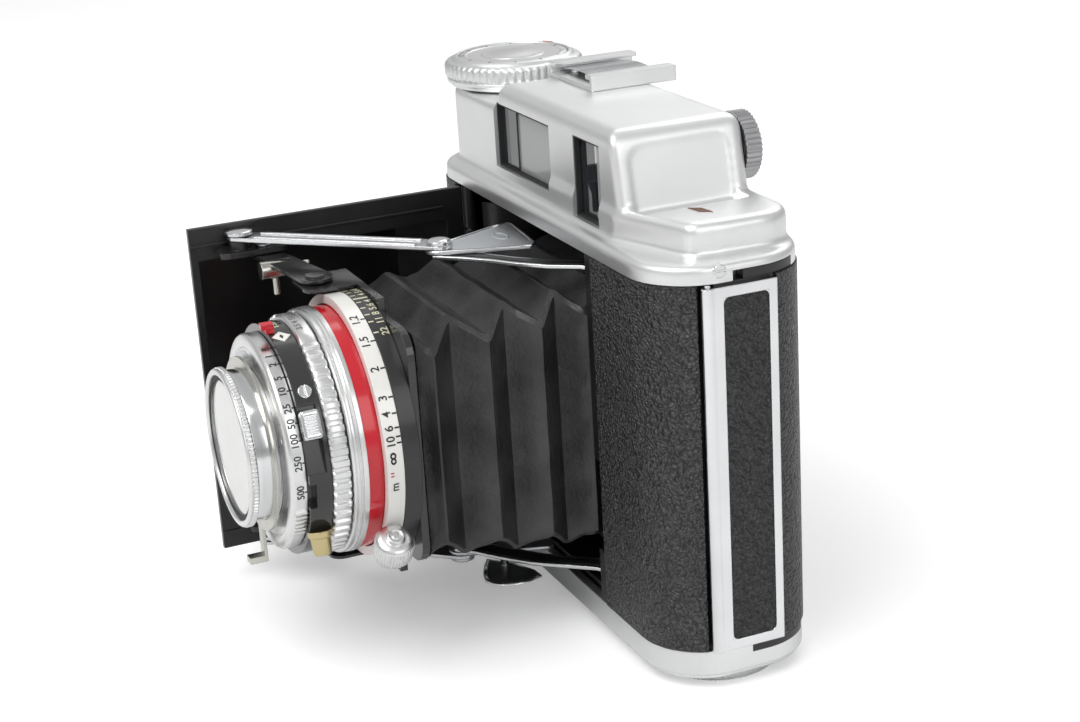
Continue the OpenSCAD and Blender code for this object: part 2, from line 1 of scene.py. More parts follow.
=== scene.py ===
"""Folding bellows camera, opened, standing on its base plate.

The body is long in X, the lens points to -Y (front) and Z is up. The lens axis runs
parallel to Y through x = 0, z = AXIS_Z. Shapes are laid out in millimetres and turned
into metres by add_mesh; materials, lights and the camera are in metres.
"""
from math import cos, sin, pi, radians

import bmesh
import bpy
from mathutils import Matrix, Vector


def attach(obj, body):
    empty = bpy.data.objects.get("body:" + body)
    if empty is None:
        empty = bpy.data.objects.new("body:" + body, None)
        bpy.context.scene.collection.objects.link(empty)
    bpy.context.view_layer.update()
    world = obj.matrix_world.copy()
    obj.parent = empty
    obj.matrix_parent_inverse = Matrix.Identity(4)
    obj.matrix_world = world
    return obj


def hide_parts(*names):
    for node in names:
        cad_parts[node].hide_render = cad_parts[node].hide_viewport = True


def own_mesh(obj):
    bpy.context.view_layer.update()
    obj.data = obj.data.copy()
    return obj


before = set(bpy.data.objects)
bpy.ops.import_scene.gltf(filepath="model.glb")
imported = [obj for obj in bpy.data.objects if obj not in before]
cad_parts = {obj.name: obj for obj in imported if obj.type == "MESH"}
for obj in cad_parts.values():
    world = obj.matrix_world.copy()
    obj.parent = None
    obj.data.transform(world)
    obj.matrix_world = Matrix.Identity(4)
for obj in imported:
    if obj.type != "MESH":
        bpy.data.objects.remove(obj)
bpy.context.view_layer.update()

MM = 0.001

AXIS_Z = 41.0              # height of the lens axis
STRUT_MID_Z = 39.3         # the struts are mirrored about this height

BODY_HALF_WIDTH = 53.0
BODY_FRONT, BODY_BACK = -15.9, 15.1
BODY_CORNER = 12           # radius of the upright corners
CORNER_X = BODY_HALF_WIDTH - BODY_CORNER

scene = bpy.context.scene


# ------------------------------------------------------------------ shader helpers
def set_inputs(tree, shader_node, inputs):
    """Link the inputs that are given a socket, and set the others."""
    for key, value in inputs.items():
        if isinstance(value, bpy.types.NodeSocket):
            tree.links.new(value, shader_node.inputs[key])
        else:
            shader_node.inputs[key].default_value = value


def add_node(tree, kind, inputs=None, **settings):
    made = tree.nodes.new(kind)
    for key, value in settings.items():
        setattr(made, key, value)
    set_inputs(tree, made, inputs or {})
    return made


def new_material(name):
    material = bpy.data.materials.new(name)
    material.use_nodes = True
    tree = material.node_tree
    return material, tree, tree.nodes["Principled BSDF"]


def object_coords(tree, scale=(1, 1, 1)):
    source = add_node(tree, "ShaderNodeTexCoord").outputs["Object"]
    mapping = add_node(tree, "ShaderNodeMapping", {"Vector": source, "Scale": scale})
    return mapping.outputs["Vector"]


def noise(tree, place, scale, detail):
    return add_node(tree, "ShaderNodeTexNoise",
                    {"Vector": place, "Scale": float(scale), "Detail": detail})


def ramp(tree, factor, first, last, start=0.3, end=0.7):
    """Colour ramp between two colours placed at start and end."""
    made = add_node(tree, "ShaderNodeValToRGB", {"Fac": factor})
    stops = made.color_ramp.elements
    stops[0].position = start
    stops[1].position = end
    stops[0].color = (*first, 1)
    stops[1].color = (*last, 1)
    return made


def map_range(tree, value, low, high):
    made = add_node(tree, "ShaderNodeMapRange", {"Value": value, "To Min": low, "To Max": high})
    return made.outputs["Result"]


def surface_normal(tree, shader, height, distance, strength, bevel=0.0):
    """Bump from a height socket, laid over rounded edges when a bevel radius is given."""
    rounded = None
    if bevel:
        rounded = add_node(tree, "ShaderNodeBevel", {"Radius": bevel}, samples=6)
    bump = add_node(tree, "ShaderNodeBump",
                    {"Distance": distance, "Strength": strength, "Height": height})
    if rounded:
        tree.links.new(rounded.outputs["Normal"], bump.inputs["Normal"])
    tree.links.new(bump.outputs["Normal"], shader.inputs["Normal"])


# ------------------------------------------------------------------ material kinds
def metal(name, dark, light, rough, scale, stretch, bevel, bump):
    material, tree, shader = new_material(name)
    place = object_coords(tree, stretch)
    grain = noise(tree, place, scale, detail=4.0).outputs["Fac"]
    mottle = noise(tree, place, scale=60.0, detail=3.0).outputs["Fac"]
    set_inputs(tree, shader, {
        "Base Color": ramp(tree, mottle, dark, light).outputs["Color"],
        "Roughness": map_range(tree, grain, *rough),
        "Metallic": 1.0})
    surface_normal(tree, shader, grain, distance=0.00002, strength=bump, bevel=bevel)
    return material


def paint(name, dark, light, rough, coat, bump, bevel):
    material, tree, shader = new_material(name)
    place = object_coords(tree)
    grain = noise(tree, place, scale=500.0, detail=4.0).outputs["Fac"]
    mottle = noise(tree, place, scale=70.0, detail=3.0).outputs["Fac"]
    set_inputs(tree, shader, {
        "Base Color": ramp(tree, mottle, dark, light).outputs["Color"],
        "Roughness": map_range(tree, mottle, low=rough * 0.75, high=rough * 1.3),
        "Coat Weight": coat,
        "Coat Roughness": 0.1})
    surface_normal(tree, shader, grain, distance=0.00004, strength=bump, bevel=bevel)
    return material


def leather(name, dark, light, scale, height, rough):
    """Pebbles from slightly warped smooth cells, with fine grain on top."""
    material, tree, shader = new_material(name)
    place = object_coords(tree)
    warp = noise(tree, place, scale=260.0, detail=2.0)
    warped = add_node(tree, "ShaderNodeMixRGB",
                      {"Fac": 0.0012, "Color1": place, "Color2": warp.outputs["Color"]},
                      blend_type="LINEAR_LIGHT")
    cells = add_node(tree, "ShaderNodeTexVoronoi",
                     {"Vector": warped.outputs["Color"], "Scale": float(scale),
                      "Smoothness": 0.35}, feature="SMOOTH_F1")
    distance = cells.outputs["Distance"]
    fine = noise(tree, place, scale=4200.0, detail=3.0)
    pebble = add_node(tree, "ShaderNodeMath", {0: 1.0, 1: distance}, operation="SUBTRACT")
    relief = add_node(tree, "ShaderNodeMath",
                      {0: fine.outputs["Fac"], 1: 0.25, 2: pebble.outputs[0]},
                      operation="MULTIPLY_ADD")
    # Base colour is lighter on the pebble tops (painted highlight) and darker in the gaps
    # between them (painted shade).
    colour = ramp(tree, distance, light, dark, start=0.1, end=0.7)
    set_inputs(tree, shader, {
        "Base Color": colour.outputs["Color"],
        "Roughness": map_range(tree, distance, low=rough * 0.8, high=rough * 1.5)})
    surface_normal(tree, shader, relief.outputs[0], distance=height, strength=1.0,
                   bevel=0.0003)
    return material


def glass(name, colour, rough, metallic):
    """Opaque coated surface that reads as glass."""
    material, tree, shader = new_material(name)
    mottle = noise(tree, object_coords(tree), scale=40.0, detail=2.0).outputs["Fac"]
    lighter = tuple(channel * 1.12 for channel in colour)
    set_inputs(tree, shader, {
        "Base Color": ramp(tree, mottle, colour, lighter).outputs["Color"],
        "Roughness": rough,
        "Metallic": metallic,
        "IOR": 1.5,
        "Coat Weight": 0.6,
        "Coat Roughness": 0.02})
    return material


def bellows_leather():
    material, tree, shader = new_material("bellows_leather")
    place = object_coords(tree)
    patches = noise(tree, place, scale=110.0, detail=5.0).outputs["Fac"]
    grain = noise(tree, place, scale=1500.0, detail=5.0).outputs["Fac"]
    crease_noise = noise(tree, place, scale=300.0, detail=6.0)
    crease_noise.inputs["Roughness"].default_value = 0.7
    creases = crease_noise.outputs["Fac"]
    colour = ramp(tree, patches, (0.016, 0.016, 0.0165), (0.046, 0.046, 0.047),
                  start=0.35, end=0.7)
    set_inputs(tree, shader, {
        "Base Color": colour.outputs["Color"],
        "Roughness": map_range(tree, creases, low=0.28, high=0.52)})
    relief = add_node(tree, "ShaderNodeMath", {0: grain, 1: creases}, operation="ADD")
    surface_normal(tree, shader, relief.outputs[0], distance=0.00018, strength=0.5)
    return material


# ------------------------------------------------------------------ materials
EVEN = (1, 1, 1)

# key: name, dark colour, light colour, roughness range, grain scale, grain stretch,
#      bevel radius, bump strength
METALS = {
    "satin": ("satin_chrome", (0.79, 0.80, 0.80), (0.86, 0.865, 0.865),
              (0.32, 0.42), 2500, EVEN, 0.0005, 0.06),
    "housing": ("housing_chrome", (0.83, 0.835, 0.835), (0.88, 0.885, 0.885),
                (0.38, 0.47), 3000, EVEN, 0.0, 0.03),
    "bright": ("bright_chrome", (0.72, 0.73, 0.74), (0.84, 0.85, 0.86),
               (0.08, 0.16), 700, EVEN, 0.0003, 0.04),
    "lensmetal": ("lens_satin", (0.74, 0.745, 0.745), (0.82, 0.825, 0.82),
                  (0.24, 0.34), 1800, EVEN, 0.00025, 0.05),
    "tube": ("polished_tube", (0.66, 0.67, 0.68), (0.80, 0.81, 0.81),
             (0.10, 0.18), 400, (1, 12, 1), 0.0002, 0.05),
    "steel": ("strut_steel", (0.60, 0.61, 0.62), (0.76, 0.77, 0.78),
              (0.14, 0.26), 500, (1, 1, 8), 0.00022, 0.07),
    "plate": ("press_plate", (0.64, 0.66, 0.69), (0.74, 0.76, 0.78),
              (0.34, 0.44), 1200, EVEN, 0.00025, 0.1),
    # The chrome knurl of the eyepiece ring is greyed down: painted shade of the dark gaps
    # between its teeth.
    "knurl": ("knurl_chrome_painted_shade", (0.36, 0.36, 0.37), (0.46, 0.46, 0.47),
              (0.30, 0.42), 1200, EVEN, 0.0002, 0.1),
    "nickel": ("nickel", (0.50, 0.49, 0.45), (0.66, 0.65, 0.60),
               (0.18, 0.3), 500, EVEN, 0.0002, 0.05),
    "brass": ("socket_brass", (0.50, 0.41, 0.21), (0.62, 0.53, 0.30),
              (0.20, 0.30), 900, EVEN, 0.0002, 0.05),
    "alu": ("aluminium", (0.78, 0.78, 0.79), (0.87, 0.87, 0.88),
            (0.30, 0.42), 900, EVEN, 0.0002, 0.05),
    "mirror": ("finder_mirror", (0.5, 0.5, 0.5), (0.6, 0.6, 0.6),
               (0.02, 0.05), 900, EVEN, 0.0, 0.05),
}

# key: name, dark colour, light colour, roughness, coat weight, bump strength, bevel radius
PAINTS = {
    "black": ("black_enamel", (0.008, 0.008, 0.009), (0.016, 0.016, 0.017),
              0.34, 0.15, 0.1, 0.0003),
    "case": ("shutter_black", (0.012, 0.012, 0.012), (0.024, 0.024, 0.024),
             0.2, 0.5, 0.05, 0.0003),
    "matt": ("matt_black", (0.010, 0.010, 0.010), (0.022, 0.022, 0.022),
             0.6, 0.0, 0.3, 0.0003),
    "ringblack": ("ring_black", (0.014, 0.014, 0.015), (0.028, 0.028, 0.03),
                  0.34, 0.2, 0.1, 0.0003),
    "red": ("red_enamel", (0.50, 0.004, 0.014), (0.60, 0.008, 0.022),
            0.16, 0.45, 0.03, 0.0003),
    "redmark": ("red_mark", (0.5, 0.02, 0.02), (0.6, 0.03, 0.03), 0.3, 0.3, 0.1, 0.0),
    "white": ("ivory_enamel", (0.76, 0.755, 0.72), (0.84, 0.83, 0.80),
              0.25, 0.4, 0.04, 0.0003),
    "ivory": ("ivory_ink", (0.62, 0.59, 0.42), (0.72, 0.68, 0.50), 0.5, 0.0, 0.1, 0.0),
    "ink": ("black_ink", (0.012, 0.012, 0.012), (0.03, 0.03, 0.03), 0.5, 0.0, 0.1, 0.0),
    "greyink": ("grey_ink", (0.16, 0.16, 0.16), (0.22, 0.22, 0.22), 0.5, 0.0, 0.1, 0.0),
    "brownink": ("brown_mark", (0.10, 0.045, 0.025), (0.16, 0.07, 0.04), 0.5, 0.0, 0.1, 0.0),
}

# key: name, colour in the gaps between pebbles (painted shade), colour on the pebble tops
# (painted highlight), pebble scale, pebble height, roughness
LEATHERS = {
    "leather": ("pebbled_leather", (0.016, 0.016, 0.017), (0.085, 0.085, 0.087),
                1750, 0.00085, 0.27),
    "leather2": ("latch_leather", (0.008, 0.008, 0.009), (0.050, 0.050, 0.051),
                 1600, 0.00080, 0.38),
}

# key: name, colour, roughness, metallic
GLASSES = {
    # The light grey colour of the filter glass is a painted reflection of the white
    # surroundings.
    "glass": ("filter_glass", (0.70, 0.71, 0.69), 0.04, 0.35),
    "deep": ("deep_glass", (0.02, 0.022, 0.025), 0.03, 0.0),
    "frost": ("frosted_window", (0.26, 0.27, 0.27), 0.25, 0.0),
}

MATERIALS = {}
for make, rows in ((metal, METALS), (paint, PAINTS), (leather, LEATHERS), (glass, GLASSES)):
    for key, row in rows.items():
        MATERIALS[key] = make(*row)
MATERIALS["bellows"] = bellows_leather()

# CAD piece: material key
CAD_MATERIALS = {
    "body_shell": "black", "body_leather": "leather", "base_plate": "satin",
    "tripod_bush": "alu", "body_screws": "bright", "top_housing": "housing",
    "accessory_shoe": "satin", "shoe_screws": "bright", "illumination_window": "frost",
    "viewfinder_window": "deep", "eyepiece_ring": "knurl", "eyepiece_lens": "deep",
    "finder_prism": "deep", "bed_hinge_pin": "steel", "back_hinge_pin": "steel",
    "strut_pivots": "steel", "bellows": "bellows", "film_roller_left": "alu",
    "film_roller_right": "alu", "bed_panel": "black", "bed_leather": "leather",
    "bed_brackets": "black", "bed_rivets": "steel", "standard_links": "case",
    "lens_standard": "case", "depth_scale_ring": "ringblack", "distance_ring": "white",
    "focus_knob": "lensmetal", "red_barrel": "red", "shutter_case": "case",
    "shutter_rim": "lensmetal", "front_barrel": "tube", "front_lens": "deep",
    "rear_cell": "matt", "filter_ring": "lensmetal", "filter_glass": "glass",
    "flash_socket": "brass", "case_screws": "bright", "iris_blades": "matt",
    "aperture_ring": "lensmetal", "speed_ring": "lensmetal", "cocking_lever": "bright",
    "sync_lever": "red", "release_lever": "nickel", "strut_arms": "steel",
    "strut_bars": "steel", "strut_tabs": "plate", "strut_rivets": "steel",
    "latch_flap": "bright", "latch_leather": "leather2", "back_shell": "black",
    "back_leather": "leather", "pressure_plate": "matt", "plate_springs": "steel",
    "wind_knob": "satin", "take_up_spool": "matt", "reminder_disc": "alu",
    "release_button": "satin", "spool_knob": "satin", "latch_pin": "steel",
}


def set_material(obj, key):
    obj.data.materials.clear()
    obj.data.materials.append(MATERIALS[key])


for piece, cad_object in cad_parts.items():
    set_material(cad_object, CAD_MATERIALS[piece])


# ------------------------------------------------------------------ mesh helpers
# A shape is a pair (points in mm, faces).
def add_mesh(name, shape):
    """Link a new object made from a shape, with its face normals turned outwards."""
    points, faces = shape
    mesh = bpy.data.meshes.new(name)
    mesh.from_pydata([(x * MM, y * MM, z * MM) for x, y, z in points], [], faces)
    mesh.validate()
    mesh.update()
    obj = bpy.data.objects.new(name, mesh)
    scene.collection.objects.link(obj)
    bm = bmesh.new()
    bm.from_mesh(mesh)
    bmesh.ops.recalc_face_normals(bm, faces=bm.faces)
    bm.to_mesh(mesh)
    bm.free()
    return obj


def smooth_below(obj, angle):
    """Shade smooth, keeping edges of at least this angle (degrees) sharp."""
    limit = radians(angle)
    bm = bmesh.new()
    bm.from_mesh(obj.data)
    for face in bm.faces:
        face.smooth = True
    for edge in bm.edges:
        if len(edge.link_faces) == 2:
            edge.smooth = edge.calc_face_angle(0) < limit
    bm.to_mesh(obj.data)
    bm.free()


def add_part(name, shape, material, body, smooth=None, replaces=None):
    obj = add_mesh(name, shape)
    set_material(obj, material)
    if smooth is not None:
        smooth_below(obj, smooth)
    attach(obj, body)
    if replaces:
        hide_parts(replaces)


def merge(shapes):
    points, faces = [], []
    for more_points, more_faces in shapes:
        base = len(points)
        points += more_points
        faces += [tuple(i + base for i in face) for face in more_faces]
    return points, faces


def loft(rings, caps=True, looped=False):
    """Skin over loops of equal length; looped joins the last loop to the first."""
    count, size = len(rings), len(rings[0])
    points = [point for ring in rings for point in ring]
    faces = []
    for i in range(count if looped else count - 1):
        low, high = i * size, (i + 1) % count * size
        for j in range(size):
            k = (j + 1) % size
            faces.append((low + j, low + k, high + k, high + j))
    if caps and not looped:
        faces.append(tuple(range(size - 1, -1, -1)))
        faces.append(tuple(range((count - 1) * size, count * size)))
    return points, faces


def band(stations, caps=True):
    """Strip of four-point sections: lower pair, then upper pair."""
    faces = []
    for i in range(len(stations) - 1):
        b = 4 * i
        faces += [(b, b + 1, b + 5, b + 4), (b + 2, b + 6, b + 7, b + 3),
                  (b, b + 4, b + 6, b + 2), (b + 1, b + 3, b + 7, b + 5)]
    if caps:
        e = 4 * (len(stations) - 1)
        faces += [(0, 2, 3, 1), (e, e + 1, e + 3, e + 2)]
    return [point for station in stations for point in station], faces


def level(outline, z):
    return [(x, y, z) for x, y in outline]


def block(corners, z0, z1):
    """Upright block on four (x, y) corners."""
    return level(corners, z0) + level(corners, z1), [
        (0, 3, 2, 1), (4, 5, 6, 7), (0, 1, 5, 4), (1, 2, 6, 5), (2, 3, 7, 6), (3, 0, 4, 7)]


def box(x0, y0, z0, x1, y1, z1):
    return block(((x0, y0), (x1, y0), (x1, y1), (x0, y1)), z0, z1)


def brick(place, us, vs, ws):
    """Block spanned by three pairs of local coordinates that place() turns into points."""
    return [place(u, v, w) for u in us for v in vs for w in ws], [
        (0, 1, 3, 2), (4, 6, 7, 5), (0, 4, 5, 1), (2, 3, 7, 6), (0, 2, 6, 4), (1, 5, 7, 3)]


def arc(cx, cy, radius, start, end, steps):
    angles = [radians(start + (end - start) * i / steps) for i in range(steps + 1)]
    return [(cx + radius * cos(a), cy + radius * sin(a)) for a in angles]


def rounded_box(x0, y0, x1, y1, radius, steps):
    """Outline with round corners; x0..y1 are the corner centres."""
    return (arc(x1, y1, radius, 0, 90, steps) + arc(x0, y1, radius, 90, 180, steps)
            + arc(x0, y0, radius, 180, 270, steps) + arc(x1, y0, radius, 270, 360, steps))


def inset(outline, distance):
    """Offset a closed counter-clockwise outline inwards."""
    moved = []
    for i, point in enumerate(outline):
        here = Vector(point)
        before = here - Vector(outline[i - 1])
        after = Vector(outline[(i + 1) % len(outline)]) - here
        if before.length < 1e-9 or after.length < 1e-9:
            moved.append(tuple(here))
            continue
        before.normalize()
        after.normalize()
        normal = Vector((-before.y, before.x))
        mitre = normal + Vector((-after.y, after.x))
        if mitre.length < 1e-6:
            moved.append(tuple(here + normal * distance))
            continue
        mitre.normalize()
        moved.append(tuple(here + mitre * (distance / max(0.35, mitre.dot(normal)))))
    return moved


def prism(outline, z0, z1, rounding, steps=4):
    """Upright prism with a rounded top edge."""
    rings = [level(outline, z0)]
    for i in range(steps + 1):
        a = pi / 2 * i / steps
        shrunk = inset(outline, rounding * (1 - cos(a))) if i else outline
        rings.append(level(shrunk, z1 - rounding + rounding * sin(a)))
    return loft(rings)


def circle(count):
    return [2 * pi * i / count for i in range(count)]


def around_axis(radius, angle, y):
    """Point about the lens axis; the angle counts from +X towards +Z."""
    return radius * cos(angle), y, AXIS_Z + radius * sin(angle)


def lathe_lens(profile, count=128, looped=True):
    """Turn (radius, y) about the lens axis."""
    rings = [[around_axis(r, a, y) for a in circle(count)] for r, y in profile]
    return loft(rings, caps=False, looped=looped)


def lathe_z(profile, cx, cy, count):
    """Turn (radius, z) about an upright axis."""
    return loft([[(cx + r * cos(a), cy + r * sin(a), z) for a in circle(count)]
                 for r, z in profile])


def ring_patch(radius, start, end, y0, y1, lift, steps):
    """Thin raised patch on a ring between two angles (degrees)."""
    stations = []
    for i in range(steps + 1):
        a = radians(start + (end - start) * i / steps)
        stations.append([around_axis(r, a, y) for r in (radius, radius + lift)
                         for y in (y0, y1)])
    return band(stations)


def ticks(radius, angles, half_angle, y0, y1, lift=0.035):
    return [ring_patch(radius, a - half_angle, a + half_angle, y0, y1, lift, steps=1)
            for a in angles]


def ribs(start, sweep, count, profile):
    """(angle, radius) outline of repeated ribs; profile holds (part of pitch, radius)."""
    pitch = sweep / count
    return [(radians(start + sweep * i / count + part * pitch), radius)
            for i in range(count) for part, radius in profile]


def ribbed_tube(outline, bore, stations):
    """Tube about the lens axis; stations are (y, cut off the radius)."""
    rings = [[around_axis(r - cut, a, y) for a, r in outline] for y, cut in stations]
    for y in (stations[-1][0], stations[0][0]):
        rings.append([around_axis(bore, a, y) for a, r in outline])
    return loft(rings, looped=True)


def ring_frame(angle):
    """Placer for (outwards, y, along the ring) at an angle (degrees) about the lens."""
    c, s = cos(radians(angle)), sin(radians(angle))
    return lambda out, y, along: (out * c - along * s, y, AXIS_Z + out * s + along * c)


# ------------------------------------------------------------------ bellows
# y, kind of fold: "side" is full width and low, "top" is full height and narrow
BELLOWS_FOLDS = (
    (-46.7, "end"), (-44.0, "side"), (-39.2, "top"), (-33.6, "side"), (-29.0, "top"),
    (-23.6, "side"), (-19.2, "top"), (-14.9, "side"), (-10.6, "top"), (-6.6, "side"),
    (-2.6, "top"), (1.6, "side"), (6.5, "end"))
BELLOWS_MID_X, BELLOWS_MID_Z = -0.8, 40.2
SIDE_POINTS = 14            # steps along each side of a section
FOLD_ROUNDING = 0.13        # part of each panel taken up by the rounding of a fold
LONG_PANEL = 1.8            # panels longer than this sag
PANEL_SAG = 0.22


def lerp(a, b, t):
    return a + (b - a) * t


def lerp_ring(ring, other, t):
    return [tuple(lerp(a, b, t) for a, b in zip(p, q)) for p, q in zip(ring, other)]


def push_out(point, amount):
    """Move a point away from the middle line of the bellows."""
    x, y, z = point
    away = Vector((x - BELLOWS_MID_X, 0, z - BELLOWS_MID_Z)).normalized()
    return x + away.x * amount, y, z + away.z * amount


def waviness(point):
    x, y, z = point
    return (0.12 * sin(z * 0.62 + y * 0.9) * sin(y * 1.3 + 1.0)
            + 0.10 * sin(x * 0.55 + y * 1.1) - 0.12)


def bellows_section(y, kind):
    """Rectangle with cut corners, run up +X, across the top, down -X, along the bottom."""
    front, back = BELLOWS_FOLDS[0][0], BELLOWS_FOLDS[-1][0]
    t = (y - front) / (back - front)
    x1, x0 = lerp(21.6, 22.4, min(1, t * 1.4)), lerp(-21.4, -24.6, t)
    ridge_top, ridge_bottom = lerp(63.6, 67.0, t), lerp(18.2, 11.6, t)
    cut = 1.2
    if kind == "side":
        top, bottom = lerp(59.0, 63.4, t), lerp(22.8, 15.0, t)
    elif kind == "top":
        depth = lerp(5.3, 5.0, t)
        x0, x1 = x0 + depth, x1 - depth
        top, bottom = ridge_top, ridge_bottom
    else:
        cut = 1.5
        if y == front:
            x0, x1 = x0 + 2.0, x1 - 2.0
        top, bottom = ridge_top - 1.5, ridge_bottom + 1.5
    sides = (((x1, bottom + cut), (x1, top - cut)), ((x1 - cut, top), (x0 + cut, top)),
             ((x0, top - cut), (x0, bottom + cut)), ((x0 + cut, bottom), (x1 - cut, bottom)))
    return [(lerp(xa, xb, j / SIDE_POINTS), y, lerp(za, zb, j / SIDE_POINTS))
            for (xa, za), (xb, zb) in sides for j in range(SIDE_POINTS + 1)]


def build_bellows():
    sections = [bellows_section(y, kind) for y, kind in BELLOWS_FOLDS]
    # Each fold becomes three rings, with the crease pulled in a little.
    folded = [sections[0]]
    for before, ring, after in zip(sections, sections[1:], sections[2:]):
        near = lerp_ring(ring, before, FOLD_ROUNDING)
        far = lerp_ring(ring, after, FOLD_ROUNDING)
        crease = [tuple(0.5 * r + 0.25 * a + 0.25 * b for r, a, b in zip(*three))
                  for three in zip(ring, near, far)]
        folded += [near, crease, far]
    folded.append(sections[-1])

    def hollow(scale, y):
        return [(-0.2 + (x + 0.2) * scale, y, AXIS_Z + (z - AXIS_Z) * scale)
                for x, _, z in folded[0]]

    # The front end is hollow, which leaves room for the rear lens cell.
    rings = [hollow(0.70, -43.0), hollow(0.72, BELLOWS_FOLDS[0][0])]
    for ring, after in zip(folded, folded[1:]):
        rings.append(ring)
        if abs(after[0][1] - ring[0][1]) > LONG_PANEL:
            for t in (0.33, 0.67):
                rings.append([push_out(p, -PANEL_SAG) for p in lerp_ring(ring, after, t)])
    rings.append(folded[-1])
    rings = [[push_out(p, waviness(p)) for p in ring] for ring in rings]

    obj = add_mesh("bellows_leather_skin", loft(rings))
    set_material(obj, "bellows")
    smooth_below(obj, 24)
    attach(obj, "camera_body")
    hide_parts("bellows")
    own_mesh(obj)


build_bellows()

# ------------------------------------------------------------------ top housing
FIRST_VOXEL, SECOND_VOXEL = 0.00042, 0.00040     # metres
# window openings: x0, z0, x1, z1
LARGE_WINDOW = (-22.2, 78.9, 2.9, 91.3)
SMALL_WINDOW = (13.6, 76.9, 24.5, 91.6)

# flared rim over the body: inset, z
RIM = ((0.25, 70.9), (0.25, 75.0), (0.4, 75.5), (0.8, 75.85), (1.6, 76.05), (3.4, 76.2))
# concave flare from the rim to the wall: outset, z
FLARE = ((0.4, 74.5), (0.4, 76.1), (0.15, 76.35), (0.0, 76.7))
# finder block, its +X end leaning outwards towards the base: outward shift, inset, z
FINDER = ((3.0, 0, 74.0), (2.9, 0, 81.0), (0.9, 0, 91.0), (0.45, 0, 92.6),
          (0.2, 0.35, 93.7), (0.0, 1.2, 94.5), (0.0, 2.4, 94.78))


def finder_outline(shift):
    x1 = 29.6 + shift
    return (arc(-20.1, -9.3, 3.0, 180, 270, 6) + arc(x1 - 1.6, -10.9, 1.4, 270, 340, 5)
            + arc(x1 - 2.6, 10.9, 2.5, 10, 90, 5) + arc(-20.1, 10.4, 3.0, 90, 180, 6))


def housing_shape():
    rim = [level(rounded_box(-CORNER_X, BODY_FRONT + BODY_CORNER, CORNER_X,
                             BODY_BACK - BODY_CORNER, BODY_CORNER - shrink, 16), z)
           for shrink, z in RIM]
    round_end_x = -BODY_HALF_WIDTH + 12.5
    round_end = (arc(round_end_x, 2.6, 11, 90, 180, 14)
                 + arc(round_end_x, -1.9, 11, 180, 270, 14))
    shoulder = (round_end + [(30, -12.9), (44.4, -8.1)] + arc(45.4, -5.0, 2.6, -70, -20, 4)
                + [(48.4, -1.5), (48.6, 6)] + arc(41.6, 6.6, 7.0, 0, 90, 6))
    deck = round_end + [(-20, -12.9), (-20, 13.6)]
    finder = []
    for shift, shrink, z in FINDER:
        outline = finder_outline(shift)
        finder.append(level(inset(outline, shrink) if shrink else outline, z))
    return merge([
        loft(rim),
        prism(shoulder, 74, 81.9, rounding=1.6),
        loft([level(inset(shoulder, -outset), z) for outset, z in FLARE]),
        prism(deck, 74, 91.0, rounding=1.2),
        loft(finder)])


def cheek_pocket():
    """Cutter for the shallow pocket in the leaning +X face of the finder block."""
    outline = ([(-9.6, 80.6), (10.2, 80.6)] + arc(7.6, 89.6, 2.6, 0, 90, 6)
               + arc(-6.4, 89.0, 3.2, 90, 180, 6))
    return loft([[(32.6 - (z - 81.0) * 0.2 + lift, y, z) for y, z in outline]
                 for lift in (-0.6, 4.0)])


def window_cutter(window, y0=-16, y1=-9.0):
    x0, z0, x1, z1 = window
    return box(x0, y0, z0, x1, y1, z1)


def evaluated_mesh(obj):
    graph = bpy.context.evaluated_depsgraph_get()
    return bpy.data.meshes.new_from_object(obj.evaluated_get(graph))


def add_remesh(obj, voxel_size):
    modifier = obj.modifiers.new("remesh", "REMESH")
    modifier.mode = "VOXEL"
    modifier.voxel_size = voxel_size


def add_cut(obj, cutter):
    modifier = obj.modifiers.new("cut", "BOOLEAN")
    modifier.operation = "DIFFERENCE"
    modifier.object = cutter
    modifier.solver = "EXACT"


def build_housing():
    # The overlapping solids are fused into one skin.
    rough = add_mesh("housing_tmp", housing_shape())
    add_remesh(rough, FIRST_VOXEL)
    obj = bpy.data.objects.new("top_housing_skin", evaluated_mesh(rough))
    scene.collection.objects.link(obj)
    bpy.data.objects.remove(rough)

    # The pocket is cut before the second remesh, so that smoothing softens its edges.
    cutters = [add_mesh("pocket_cutter", cheek_pocket())]
    add_cut(obj, cutters[0])
    add_remesh(obj, SECOND_VOXEL)
    smoothing = obj.modifiers.new("smooth", "SMOOTH")
    smoothing.factor = 0.5
    smoothing.iterations = 6
    # These cuts stay sharp: flat underside, both windows, clearance for the latch.
    for shape in (box(-60, -20, 60, 60, 20, 72.83), window_cutter(LARGE_WINDOW),
                  window_cutter(SMALL_WINDOW), box(49.9, -2.0, 72, 60, 13.0, 74.6)):
        cutters.append(add_mesh("cutter", shape))
        add_cut(obj, cutters[-1])
    bpy.context.view_layer.update()
    finished = evaluated_mesh(obj)
    obj.modifiers.clear()
    obj.data = finished
    for cutter in cutters:
        bpy.data.objects.remove(cutter)

    smooth_below(obj, 38)
    set_material(obj, "housing")
    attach(obj, "camera_body")
    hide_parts("top_housing")


build_housing()

# small dark lozenge on the shoulder
add_part("shoulder_mark",
         block(((37.6, -2.2), (40.9, -1.7), (42.3, 0.2), (39.0, -0.3)), 81.9, 82.0),
         "brownink", "camera_body")


# ------------------------------------------------------------------ finder windows
def window_lining(name, window, gap=0.05, thick=0.28, y0=-12.15, depth=1.1):
    """Thin sunk frame inside a window opening."""
    x0, z0, x1, z1 = window
    x0, z0, x1, z1 = x0 + gap, z0 + gap, x1 - gap, z1 - gap
    y1 = y0 + depth
    add_part(name, merge([
        box(x0, y0, z0, x0 + thick, y1, z1), box(x1 - thick, y0, z0, x1, y1, z1),
        box(x0, y0, z0, x1, y1, z0 + thick), box(x0, y0, z1 - thick, x1, y1, z1)]),
        "matt", "camera_body")


window_lining("finder_lining_large", LARGE_WINDOW)
window_lining("finder_lining_small", SMALL_WINDOW)

